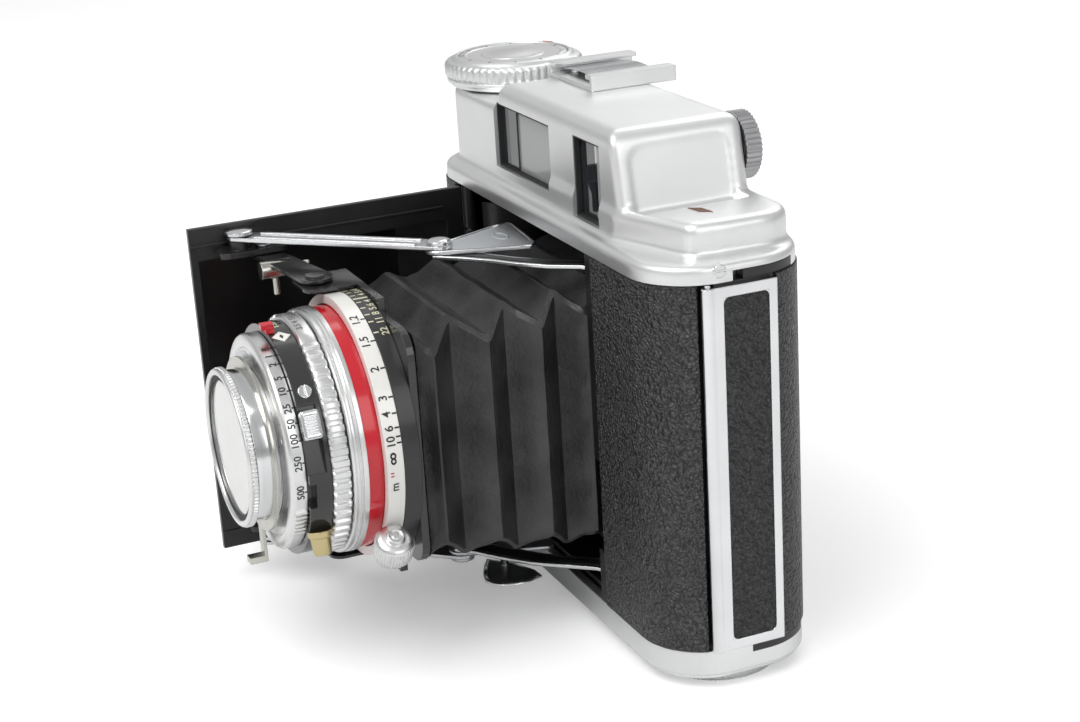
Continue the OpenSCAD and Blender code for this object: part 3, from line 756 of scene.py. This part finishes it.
# name, material, box x0, y0, z0, x1, y1, z1
for name, material, *extent in (
        # Dark strip over the left third of the large window: painted shade inside the finder.
        ("finder_window_painted_shade", "deep", -21.9, -11.35, 79.2, -14.6, -11.12, 91.0),
        ("finder_mirror_edge", "mirror", 20.6, -11.3, 77.2, 21.3, -11.1, 91.3),
        ("finder_mirror_face", "frost", 21.3, -11.3, 77.2, 24.2, -11.1, 91.3)):
    add_part(name, box(*extent), material, "camera_body")


# ------------------------------------------------------------------ latch slots
def latch_slot(name, z0, z1, outer, inner):
    """Black strip round the +X end; outer and inner are depths below the body outline."""
    centre_y = BODY_BACK - BODY_CORNER
    path = [(BODY_HALF_WIDTH, 0.0)] + arc(CORNER_X, centre_y, BODY_CORNER, 0, 48.75, 13)
    rings = []
    for x, y in path:
        out = Vector((x - CORNER_X, y - min(centre_y, y))).normalized()
        far, near = [(x - out.x * depth, y - out.y * depth) for depth in (outer, inner)]
        rings.append([(*far, z0), (*near, z0), (*near, z1), (*far, z1)])
    add_part(name, loft(rings), "black", "camera_body")


latch_slot("latch_slot_top", 72.85, 74.5, outer=0.35, inner=2.6)
latch_slot("latch_slot_bottom", 4.2, 5.7, outer=0.22, inner=0.6)

# ------------------------------------------------------------------ lens markings
DISTANCE_R = 24.3           # distance and depth rings
SPEED_R = 19.8
CASE_R = 21.2
APERTURE_R = 22.06
TEXT_LIFT = 0.05


def flat_text(text, size):
    """Centred text as a flat shape; "inf" is an 8 laid on its side."""
    infinite = text == "inf"
    curve = bpy.data.curves.new("text", "FONT")
    curve.body = "8" if infinite else text
    curve.size = size * 1.15 if infinite else size
    curve.align_x = "CENTER"
    curve.align_y = "CENTER"
    curve.resolution_u = 4
    curve.offset = curve.size * 0.014
    obj = bpy.data.objects.new("text", curve)
    scene.collection.objects.link(obj)
    bpy.context.view_layer.update()
    mesh = bpy.data.meshes.new_from_object(obj)
    points = [tuple(vertex.co)[:2] for vertex in mesh.vertices]
    faces = [tuple(polygon.vertices) for polygon in mesh.polygons]
    bpy.data.objects.remove(obj)
    bpy.data.curves.remove(curve)
    bpy.data.meshes.remove(mesh)
    if infinite:
        points = [(-1.25 * y, x) for x, y in points]
    return points, faces


def add_dial(name, labels, y, radius, size, material, body, bars=()):
    """Figures wrapped round a ring; labels are (text, angle in degrees)."""
    shapes = []
    radius += TEXT_LIFT
    for text, angle in labels:
        points, faces = flat_text(text, size)
        shapes.append(([around_axis(radius, radians(angle) + along / radius, y - up)
                        for along, up in points], faces))
    add_part(name, merge(shapes + list(bars)), material, body)


def angles_of(labels):
    return [angle for text, angle in labels]


# text, angle
DISTANCES = (("1.2", 67.5), ("1.5", 54.5), ("2", 41.2), ("3", 28.6), ("4", 21.8),
             ("6", 15.9), ("10", 10.3), ("inf", 3.6), ("m", -9.5))
DEPTHS = (("22", 58.5), ("11", 65.0), ("8", 69.8), ("5.6", 75.0), ("4", 80.2),
          ("4", 88.0), ("5.6", 93.4), ("8", 98.4), ("11", 103.2), ("22", 110))
SPEEDS = (("B", 73.5), ("1", 67.2), ("2", 60.8), ("5", 51.8), ("10", 43.8),
          ("25", 34.6), ("50", 26.6), ("100", 17.6), ("250", 6.3), ("500", -9.5))

# The ticks of the last distances stand apart from their figures.
add_dial("distance_scale", DISTANCES, y=-53.9, radius=DISTANCE_R, size=2.15,
         material="ink", body="focus",
         bars=ticks(DISTANCE_R, angles_of(DISTANCES)[:6] + [12.2, 9.6], 0.35, -52.95, -52.1))
add_part("infra_red_dots",
         merge(ticks(DISTANCE_R, (-3.0, -4.4), 0.3, -54.6, -54.0, lift=0.03)),
         "redmark", "focus")
add_dial("depth_scale", DEPTHS, y=-49.7, radius=DISTANCE_R, size=1.9,
         material="ivory", body="standard",
         bars=(ticks(DISTANCE_R, angles_of(DEPTHS), 0.35, -51.85, -50.9)
               + ticks(DISTANCE_R, [84.0], 0.6, -51.9, -49.2)))
add_dial("speed_scale", SPEEDS, y=-69.55, radius=SPEED_R, size=1.85,
         material="ink", body="speed",
         bars=ticks(SPEED_R, angles_of(SPEEDS), 0.4, -68.85, -68.45, lift=0.03))

# white lozenge on the shutter case: angle, y of its corners
CASE_INDEX = ((71.5, -66.3), (76.3, -64.6), (81.2, -66.3), (76.3, -68.1))
add_part("case_index",
         ([around_axis(r, radians(a), y) for a, y in CASE_INDEX
           for r in (CASE_R, CASE_R + 0.06)],
          [(0, 2, 4, 6), (1, 7, 5, 3), (0, 1, 3, 2), (2, 3, 5, 4), (4, 5, 7, 6),
           (6, 7, 1, 0)]),
         "white", "lens_unit")
add_dial("aperture_marks", (("8", 87.5), ("5.6", 92.5), ("11", 97.5)), y=-66.0,
         radius=CASE_R, size=1.6, material="ivory", body="lens_unit")


# ------------------------------------------------------------------ lens rings
def build_aperture_ring():
    """Coarse flutes all round, except for a plain sector that carries the figures."""
    start, fluted = 66.0, 316.0
    plain = 360.0 - fluted
    outline = ribs(start, -fluted, 58,
                   ((0.08, 21.62), (0.22, 22.1), (0.66, 22.1), (0.80, 21.62)))
    outline += [(radians(start - fluted - plain * i / 12), 22.05) for i in range(1, 12)]
    stations = ((-64.18, 0.5), (-63.95, 0.12), (-63.7, 0), (-61.3, 0), (-61.0, 0.15),
                (-60.82, 0.5))
    add_part("aperture_ring_fluted", ribbed_tube(outline, 20.57, stations),
             "lensmetal", "aperture", 30, replaces="aperture_ring")


build_aperture_ring()
add_dial("aperture_scale", (("3.5", 78.5), ("4", 84), ("5.6", 90)), y=-62.9,
         radius=APERTURE_R, size=1.7, material="greyink", body="aperture")

# turned profiles about the lens axis: radius, y
SHUTTER_RIM = (     # smooth band with two grooves
    (22.43, -57.98), (22.7, -58.02), (22.7, -58.9), (22.45, -58.98), (22.45, -59.2),
    (22.7, -59.28), (22.7, -59.5), (22.4, -59.62), (22.4, -60.1), (22.6, -60.2),
    (22.6, -60.6), (22.35, -60.76), (20.4, -60.76), (20.4, -58.4), (22.43, -58.4))
SPEED_RING = (      # stepped front face
    (18.68, -68.36), (19.7, -68.36), (19.8, -68.46), (19.8, -70.55), (19.55, -70.95),
    (19.1, -71.2), (18.2, -71.3), (17.6, -71.3), (17.3, -71.1), (17.2, -70.95),
    (14.4, -70.95), (14.05, -71.0), (14.05, -70.86), (18.68, -70.86))
FRONT_TUBE = (
    (12.45, -62.0), (13.35, -62.0), (13.38, -70.7), (13.88, -70.86), (13.88, -74.9),
    (13.7, -75.3), (13.3, -75.44), (12.45, -75.44))
FILTER_LIP = (
    (13.25, -76.5), (14.35, -76.5), (14.45, -76.62), (14.45, -76.85), (14.25, -77.05),
    (13.95, -77.1), (13.6, -77.1), (13.35, -76.95), (13.25, -76.7))
FILTER_GLASS = (
    (0.0, -76.5), (5.0, -76.48), (9.0, -76.38), (13.18, -76.2), (13.18, -75.85),
    (0.0, -75.85))
GLASS_RETAINER = ((12.4, -76.62), (13.3, -76.62), (13.3, -76.5), (12.4, -76.5))

add_part("shutter_rim_turned", lathe_lens(SHUTTER_RIM), "lensmetal", "lens_unit",
         28, replaces="shutter_rim")

finger_ribs = [ring_patch(SPEED_R - 0.02, a - 0.9, a + 0.9, -70.7, -68.5, 0.42, steps=2)
               for a in (-22, -25, -28, -31, -34, -37)]
add_part("speed_ring_turned", merge([lathe_lens(SPEED_RING)] + finger_ribs),
         "lensmetal", "speed", 28, replaces="speed_ring")


def add_crescent(name, start, end, steps=14, radius=15.9):
    """Thin crescent on the front face of the speed ring, tapering to both ends."""
    stations = []
    for i in range(steps + 1):
        a = radians(start + (end - start) * i / steps)
        width = sin(pi * i / steps) ** 0.5
        stations.append([around_axis(r, a, y)
                         for r in (radius - 0.9 * width, radius + 1.1 * width)
                         for y in (-70.93, -71.0)])
    add_part(name, band(stations, caps=False), "plate", "speed")


add_crescent("face_crescent_a", 96, 150)
add_crescent("face_crescent_b", -84, -132)
add_crescent("face_crescent_c", 20, -30)

add_part("front_tube_turned", lathe_lens(FRONT_TUBE), "tube", "lens_unit", 28,
         replaces="front_barrel")
filter_knurl = ribs(0.0, 360.0, 110,
                    ((0.0, 14.36), (0.25, 14.64), (0.6, 14.64), (0.85, 14.36)))
filter_stations = ((-75.52, 0.2), (-75.6, 0.0), (-76.45, 0.0), (-76.5, 0.28))
add_part("filter_ring_turned",
         merge([ribbed_tube(filter_knurl, 13.25, filter_stations), lathe_lens(FILTER_LIP)]),
         "lensmetal", "lens_unit", 28, replaces="filter_ring")
add_part("filter_glass_curved", lathe_lens(FILTER_GLASS, 96, looped=False), "glass",
         "lens_unit", 60, replaces="filter_glass")
add_part("glass_retainer", lathe_lens(GLASS_RETAINER, 96), "matt", "lens_unit")

# ------------------------------------------------------------------ focusing knob
KNOB_OUT, KNOB_Y = 28, -55.0        # knob centre: distance from the lens axis, y
KNOB_ARM_Y = -53.6
# place along the ring, radius, rib depth: ribbed drum, shoulder and ringed cap
KNOB_PROFILE = (
    (-2.4, 2.6, 0), (-2.2, 3.1, 0), (-1.8, 3.45, 0.14), (-1.2, 3.58, 0.2),
    (1.4, 3.58, 0.2), (1.9, 3.4, 0.14), (2.3, 3.0, 0), (2.55, 2.4, 0), (2.6, 1.7, 0),
    (2.75, 1.6, 0), (3.3, 1.6, 0), (3.45, 1.5, 0), (3.45, 1.15, 0), (3.25, 1.05, 0),
    (3.25, 0.7, 0), (3.4, 0.62, 0))


def build_focus_knob(rib_count=40, arm_radius=1.3):
    place = ring_frame(-33)
    drum = []
    for along, radius, rib in KNOB_PROFILE:
        ring = []
        for i, a in enumerate(circle(rib_count * 4)):
            r = radius - (rib if i % 4 == 0 else 0)
            ring.append(place(KNOB_OUT + r * cos(a), KNOB_Y - r * sin(a), along))
        drum.append(ring)
    arm = [[place(out, KNOB_ARM_Y - arm_radius * cos(a), arm_radius * sin(a))
            for a in circle(16)] for out in (23.9, 24.6, 27.0)]
    add_part("focus_knob_ribbed", merge([loft(drum), loft(arm)]),
             "lensmetal", "focus", 32, replaces="focus_knob")


build_focus_knob()


# ------------------------------------------------------------------ flash socket
def build_flash_socket():
    a = radians(-34)
    outward = Vector((cos(a), 0, sin(a)))
    base = outward * 21.5 + Vector((0, -66.5, AXIS_Z))
    axis = (outward * 0.30 + Vector((0.0, 0, -1.0))).normalized()
    side = Vector((0, 1, 0))
    other = axis.cross(side).normalized()

    def turned(profile, count=28):
        return loft([[base + axis * height + side * (r * cos(t)) + other * (r * sin(t))
                      for t in circle(count)] for height, r in profile])

    # height along the socket, radius
    body = ((-0.4, 2.2), (0.5, 2.25), (0.75, 2.1), (0.85, 1.9), (3.6, 1.65),
            (3.95, 1.5), (4.0, 1.25), (3.2, 1.2))
    insulator = ((3.3, 1.15), (3.75, 1.15))
    pin = ((3.6, 0.42), (4.1, 0.42), (4.2, 0.3))
    add_part("flash_socket_turned", turned(body), "brass", "lens_unit", 34,
             replaces="flash_socket")
    add_part("flash_socket_insulator", turned(insulator), "matt", "lens_unit")
    add_part("flash_socket_pin", turned(pin, 16), "brass", "lens_unit", 34)


build_flash_socket()


# ------------------------------------------------------------------ cocking tab
def build_cocking_tab():
    """Rounded tab with fine serrations across its outer face."""
    place = ring_frame(24)
    outline = rounded_box(-0.9, -1.9, 1.0, 1.9, 0.75, 5)
    # distance from the lens axis, scale of the outline
    sections = ((21.3, 1.0), (22.5, 1.0), (22.8, 0.93), (22.9, 0.8))
    tab = loft([[place(out, -66.8 + y * scale, along * scale) for y, along in outline]
                for out, scale in sections])
    serrations = []
    for i in range(7):
        along = -1.5 + 0.5 * i
        serrations.append(brick(place, (22.7, 23.05), (-67.9, -65.7),
                                (along - 0.11, along + 0.11)))
    root = brick(place, (20.25, 21.6), (-68.3, -65.7), (-1, 1))
    add_part("cocking_tab", merge([tab] + serrations + [root]), "bright", "cocking",
             34, replaces="cocking_lever")


build_cocking_tab()

# ------------------------------------------------------------------ struts
# x, y of the joints
ELBOW = (-4.4, -32.4)
BED_JOINT = (-32.7, -62.5)
BODY_JOINT = (23.5, -7.5)


def mirrored(shape):
    points, faces = shape
    return ([(x, y, 2 * STRUT_MID_Z - z) for x, y, z in points],
            [tuple(reversed(face)) for face in faces])


def both(shape):
    return merge([shape, mirrored(shape)])


def dome(centre, z, radius, height):
    profile = ((radius, z), (radius, z + 0.12), (radius * 0.93, z + height * 0.55),
               (radius * 0.72, z + height * 0.85), (radius * 0.4, z + height * 0.98),
               (0.05, z + height))
    return lathe_z(profile, *centre, 36)


def bar_bead(offset, half_width=0.45, end_gap=4):
    """Raised bead along the bar between the bed joint and the elbow."""
    start, end = Vector(BED_JOINT), Vector(ELBOW)
    along = (end - start).normalized()
    across = Vector((-along.y, along.x))
    start, end = start + along * end_gap, end - along * end_gap
    near, far = across * (offset - half_width), across * (offset + half_width)
    return block((start + near, end + near, end + far, start + far), 70.65, 70.95)


def sheet(outline, z0, z1, chamfer=0.08, chamfer_height=0.12):
    """Flat piece with chamfered edges."""
    small = inset(outline, chamfer)
    return loft([level(small, z0), level(outline, z0 + chamfer_height),
                 level(outline, z1 - chamfer_height), level(small, z1)])


def rim_on(outline, steps):
    """Open raised rim on the upper and lower strut; steps are (inset, z)."""
    return both(loft([level(inset(outline, shrink) if shrink else outline, z)
                      for shrink, z in steps], caps=False))


add_part("elbow_rivet_domes", both(dome(ELBOW, 71.2, 2.15, 0.5)), "bright", "bars",
         40)
add_part("bed_rivet_domes", both(dome(BED_JOINT, 71.3, 2.45, 0.42)), "bright", "bed",
         40)
add_part("bar_edge_beads", both(merge([bar_bead(1.5), bar_bead(-1.5)])), "bright", "bars")

# x, y outlines; the lower arm bows out further
arm_inner = arc(*BODY_JOINT, 2.9, -50, 150, 12) + [
    (20.8, -6.2), (15.0, -12.0), (11.4, -17.0), (7.0, -21.2), (1.8, -24.9), (-5.6, -30.2)]
upper_arm = [(-2.8, -34.4), (1.5, -30.0), (5.6, -26.4), (10.4, -23.0), (14.8, -19.0),
             (18.4, -14.2)] + arm_inner
lower_arm = [(-2.8, -34.5), (0.6, -31.4), (3.9, -29.2), (7.0, -27.0), (10.4, -24.2),
             (13.6, -20.6), (16.2, -17.6), (18.8, -14.6)] + arm_inner
ARM_Z0, ARM_Z1 = 68.3, 69.0
add_part("strut_arms_formed",
         merge([sheet(upper_arm, ARM_Z0, ARM_Z1),
                mirrored(sheet(lower_arm, ARM_Z0, ARM_Z1))]),
         "steel", "arms", 30, replaces="strut_arms")

# black faces inside the polished edges
upper_face, lower_face = inset(upper_arm, 0.95), inset(lower_arm, 0.95)
FACE_LAYERS = ((68.98, 69.06), (68.24, 68.32))
add_part("strut_arm_faces",
         merge([sheet(upper_face, *layer) for layer in FACE_LAYERS]
               + [mirrored(sheet(lower_face, *layer)) for layer in FACE_LAYERS]),
         "black", "arms", 30)

# leaf on the lower arm with a short post, black with a bright edge
LEAF = ((-0.4, -29.0), (1.8, -30.4), (4.1, -31.5), (6.2, -32.4), (8.4, -32.8),
        (10.6, -32.2), (12.2, -30.6), (13.0, -28.2), (13.1, -25.6), (12.0, -22.6),
        (9.0, -22.8), (4.0, -25.0))
leaf = [(x - 0.8, y + 0.3) for x, y in LEAF]
add_part("lower_thumb_leaf",
         merge([sheet(leaf, 6.98, 7.46), lathe_z(((0.8, 7.42), (0.8, 9.7)), 3.0, -26.6, 20)]),
         "bright", "arms", 30)
add_part("lower_thumb_face", sheet(inset(leaf, 0.75), 7.42, 7.52), "black", "arms",
         30)

# triangular thumb plate with a raised rim and an embossed oval
thumb_plate = arc(*ELBOW, 2.6, 180, 340, 10) + [
    (0.6, -27.0), (3.8, -17.6), (3.4, -16.3), (2.2, -15.7), (-12.6, -14.0),
    (-13.9, -14.4), (-14.2, -15.4), (-8.8, -28.2)]
oval = [(-5.6 + 2.6 * cos(a), -19.6 + 1.4 * sin(a)) for a in circle(32)]
add_part("thumb_plate_formed", both(sheet(thumb_plate, 69.12, 69.75)), "plate", "tabs",
         30, replaces="strut_tabs")
add_part("thumb_plate_rim",
         rim_on(thumb_plate, ((0, 69.7), (0.12, 69.92), (0.45, 69.92), (0.65, 69.74))),
         "bright", "tabs", 50)
add_part("thumb_plate_oval",
         rim_on(oval, ((0, 69.74), (0.18, 69.88), (0.35, 69.88), (0.5, 69.76))),
         "plate", "tabs", 60)


# ------------------------------------------------------------------ latch frame corners
def corner_fillet(y_side, z_side, size=1.1):
    corner_y = -4.4 if y_side < 0 else 4.2
    corner_z = 8.0 if z_side < 0 else 70.6
    outline = [(corner_y, corner_z)]
    for y, z in arc(-1, -1, 1, 0, 90, 5):
        outline.append((corner_y + y_side * size * y,
                        corner_z + z_side * size * z))
    return loft([[(x, y, z) for y, z in outline] for x in (53.25, 53.9)])


add_part("latch_corner_fillets",
         merge([corner_fillet(y_side, z_side) for y_side in (-1, 1) for z_side in (-1, 1)]),
         "bright", "latch")


# ------------------------------------------------------------------ accessory shoe
def build_shoe_spring(steps=14):
    """Thin leaf bowed upwards along X."""
    stations = []
    for i in range(steps + 1):
        x = -21.6 + 17.0 * i / steps
        z = 95.95 + 0.75 * sin(pi * i / steps)
        stations.append([(x, y, z + rise) for y in (2.0, 14.5) for rise in (0, 0.28)])
    add_part("shoe_spring", band(stations), "steel", "camera_body", 40)


build_shoe_spring()

# ------------------------------------------------------------------ winding knob
WIND_X, WIND_Y = -40.6, -0.6
# radius, z, flute depth
WIND_PROFILE = (
    (12.6, 91.3, 0), (12.6, 91.95, 0), (13.2, 92.0, 0), (13.5, 92.1, 0),
    (13.55, 92.9, 0), (13.3, 93.0, 0), (13.3, 93.1, 0), (13.75, 93.2, 0.3),
    (13.9, 93.4, 0.5), (13.9, 95.3, 0.5), (13.7, 95.7, 0.35), (13.35, 96.0, 0),
    (12.9, 96.1, 0), (12.4, 96.15, 0), (12.0, 96.6, 0), (11.6, 96.85, 0),
    (11.1, 96.85, 0), (11.0, 96.12, 0))
# radius, z
DISC_PROFILE = (
    (10.85, 96.2), (10.85, 96.6), (10.6, 96.72), (9.6, 96.72), (9.5, 96.62),
    (6.4, 96.62), (6.3, 96.75), (4.2, 96.75), (3.6, 96.88), (0.1, 96.88))
MARK_SECTION = ((11.8, 96.6), (13.2, 95.95), (13.3, 96.15), (11.8, 96.95))


def build_wind_knob(flutes=54):
    rings = []
    for radius, z, depth in WIND_PROFILE:
        ring = []
        for a in circle(flutes * 6):
            wave = 0.5 - 0.5 * cos(flutes * a)
            r = radius - depth * (1 - wave ** 0.6)
            ring.append((WIND_X + r * cos(a), WIND_Y + r * sin(a), z))
        rings.append(ring)
    add_part("wind_knob_fluted", loft(rings), "satin", "wind", 32,
             replaces="wind_knob")


def disc_tick(angle):
    c, s = cos(radians(angle)), sin(radians(angle))

    def place(out, side, z):
        return WIND_X + out * c - side * s, WIND_Y + out * s + side * c, z

    return brick(place, (9.75, 10.5), (-0.14, 0.14), (96.71, 96.75))


build_wind_knob()
add_part("reminder_disc_turned", lathe_z(DISC_PROFILE, WIND_X, WIND_Y, 72), "alu",
         "reminder", 28, replaces="reminder_disc")
add_part("reminder_ticks", merge([disc_tick(30 * i + 10) for i in range(12)]), "ink",
         "reminder")
add_part("knob_red_mark",
         loft([[(WIND_X + r * cos(radians(a)), WIND_Y + r * sin(radians(a)), z)
                for r, z in MARK_SECTION] for a in (114, 117, 120, 123, 126)]),
         "redmark", "wind")

# ------------------------------------------------------------------ bed and linkage
add_part("bed_edge_steps",
         merge([box(-35.52, -71.5, z, -35.28, -20.0, z + 0.5) for z in (9.4, 68.6)]),
         "black", "bed")


def rod(start, end, radius, count=10):
    """Round rod between two points."""
    start, end = Vector(start), Vector(end)
    along = (end - start).normalized()
    side = along.cross(Vector((0, 0, 1)))
    if side.length < 1e-4:
        side = along.cross(Vector((1, 0, 0)))
    side.normalize()
    other = along.cross(side)
    return loft([[point + side * (radius * cos(a)) + other * (radius * sin(a))
                  for a in circle(count)] for point in (start, end)])


# nickel roller on a short post beside the lens, with a thinner rod and post behind it
LINK_X = -24.0
add_part("release_linkage", merge([
    rod((LINK_X, -58.5, 60.5), (LINK_X, -58.5, 66.3), 0.7),
    rod((LINK_X, -61.4, 65.4), (LINK_X, -55.6, 65.4), 1.75, 24),
    rod((LINK_X, -55.7, 65.4), (LINK_X, -52.0, 65.4), 0.8),
    rod((LINK_X, -52.2, 66.0), (LINK_X, -52.2, 59.5), 0.6)]),
    "nickel", "standard", 40)


# ------------------------------------------------------------------ floor
def build_floor(half=3, z=-0.0016):
    """White paper that glows a little, for camera rays only."""
    mesh = bpy.data.meshes.new("floor")
    mesh.from_pydata([(-half, -half, z), (half, -half, z), (half, half, z),
                      (-half, half, z)], [], [(0, 1, 2, 3)])
    mesh.update()
    obj = bpy.data.objects.new("floor", mesh)
    scene.collection.objects.link(obj)
    material, tree, shader = new_material("floor_paper")
    camera_ray = add_node(tree, "ShaderNodeLightPath").outputs["Is Camera Ray"]
    glow = add_node(tree, "ShaderNodeMath", {0: camera_ray, 1: 0.30}, operation="MULTIPLY")
    set_inputs(tree, shader, {
        "Base Color": (0.88, 0.88, 0.88, 1),
        "Roughness": 0.9,
        "Specular IOR Level": 0.0,
        "Emission Color": (1, 1, 1, 1),
        "Emission Strength": glow.outputs[0]})
    mesh.materials.append(material)


build_floor()


# ------------------------------------------------------------------ lights
def add_light(name, location, target, size, power):
    light = bpy.data.lights.new(name, "AREA")
    light.energy = power
    light.size = size
    obj = bpy.data.objects.new(name, light)
    scene.collection.objects.link(obj)
    obj.location = location
    aim = Vector(target) - Vector(location)
    obj.rotation_euler = aim.to_track_quat("-Z", "Y").to_euler()


add_light("key", location=(0.20, -0.50, 0.80), target=(0, -0.02, 0.04), size=0.6, power=5.0)
add_light("fill", location=(0.8, 0.15, 0.45), target=(0.02, 0, 0.05), size=0.5, power=1.2)
add_light("back", location=(-0.5, 0.5, 0.7), target=(0, 0, 0.05), size=0.6, power=1.6)


def build_world():
    """Grey gradient for lighting and reflections; plain white to the camera."""
    world = bpy.data.worlds.new("w")
    scene.world = world
    world.use_nodes = True
    tree = world.node_tree
    direction = add_node(tree, "ShaderNodeTexCoord").outputs["Generated"]
    split = add_node(tree, "ShaderNodeSeparateXYZ", {0: direction})
    gradient = ramp(tree, split.outputs["Z"], (0.90, 0.90, 0.90), (1.0, 1.0, 1.0),
                    start=0.0, end=1.0)
    for position, grey in ((0.12, 0.62), (0.35, 0.92)):
        stop = gradient.color_ramp.elements.new(position)
        stop.color = (grey, grey, grey, 1)
    camera_ray = add_node(tree, "ShaderNodeLightPath").outputs["Is Camera Ray"]
    colour = add_node(tree, "ShaderNodeMixRGB", {
        "Fac": camera_ray, "Color1": gradient.outputs["Color"], "Color2": (1, 1, 1, 1)})
    set_inputs(tree, tree.nodes["Background"], {
        "Color": colour.outputs["Color"],
        "Strength": map_range(tree, camera_ray, low=0.58, high=1.0)})


build_world()
scene.view_settings.view_transform = "Standard"
scene.view_settings.look = "None"
scene.view_settings.exposure = 0.0


# ------------------------------------------------------------------ camera
def build_camera(location, azimuth, elevation, roll, lens):
    """Azimuth turns from +Y towards -X, elevation looks down, roll tilts; degrees."""
    azimuth, elevation, roll = radians(azimuth), radians(elevation), radians(roll)
    camera = bpy.data.cameras.new("cam")
    obj = bpy.data.objects.new("cam", camera)
    scene.collection.objects.link(obj)
    view = Vector((-sin(azimuth) * cos(elevation), cos(azimuth) * cos(elevation),
                   -sin(elevation)))
    level_right = Vector((cos(azimuth), sin(azimuth), 0))
    level_up = level_right.cross(view)
    right = level_right * cos(roll) + level_up * sin(roll)
    up = -level_right * sin(roll) + level_up * cos(roll)
    rows = [(right[i], up[i], -view[i], location[i]) for i in range(3)]
    obj.matrix_world = Matrix((*rows, (0, 0, 0, 1)))
    camera.sensor_width = 36.0
    camera.lens = lens
    camera.clip_start = 0.01
    camera.clip_end = 20
    scene.camera = obj


build_camera(location=(0.33967, -0.15509, 0.17277), azimuth=67.66, elevation=19.07,
             roll=-3.50, lens=68.44)
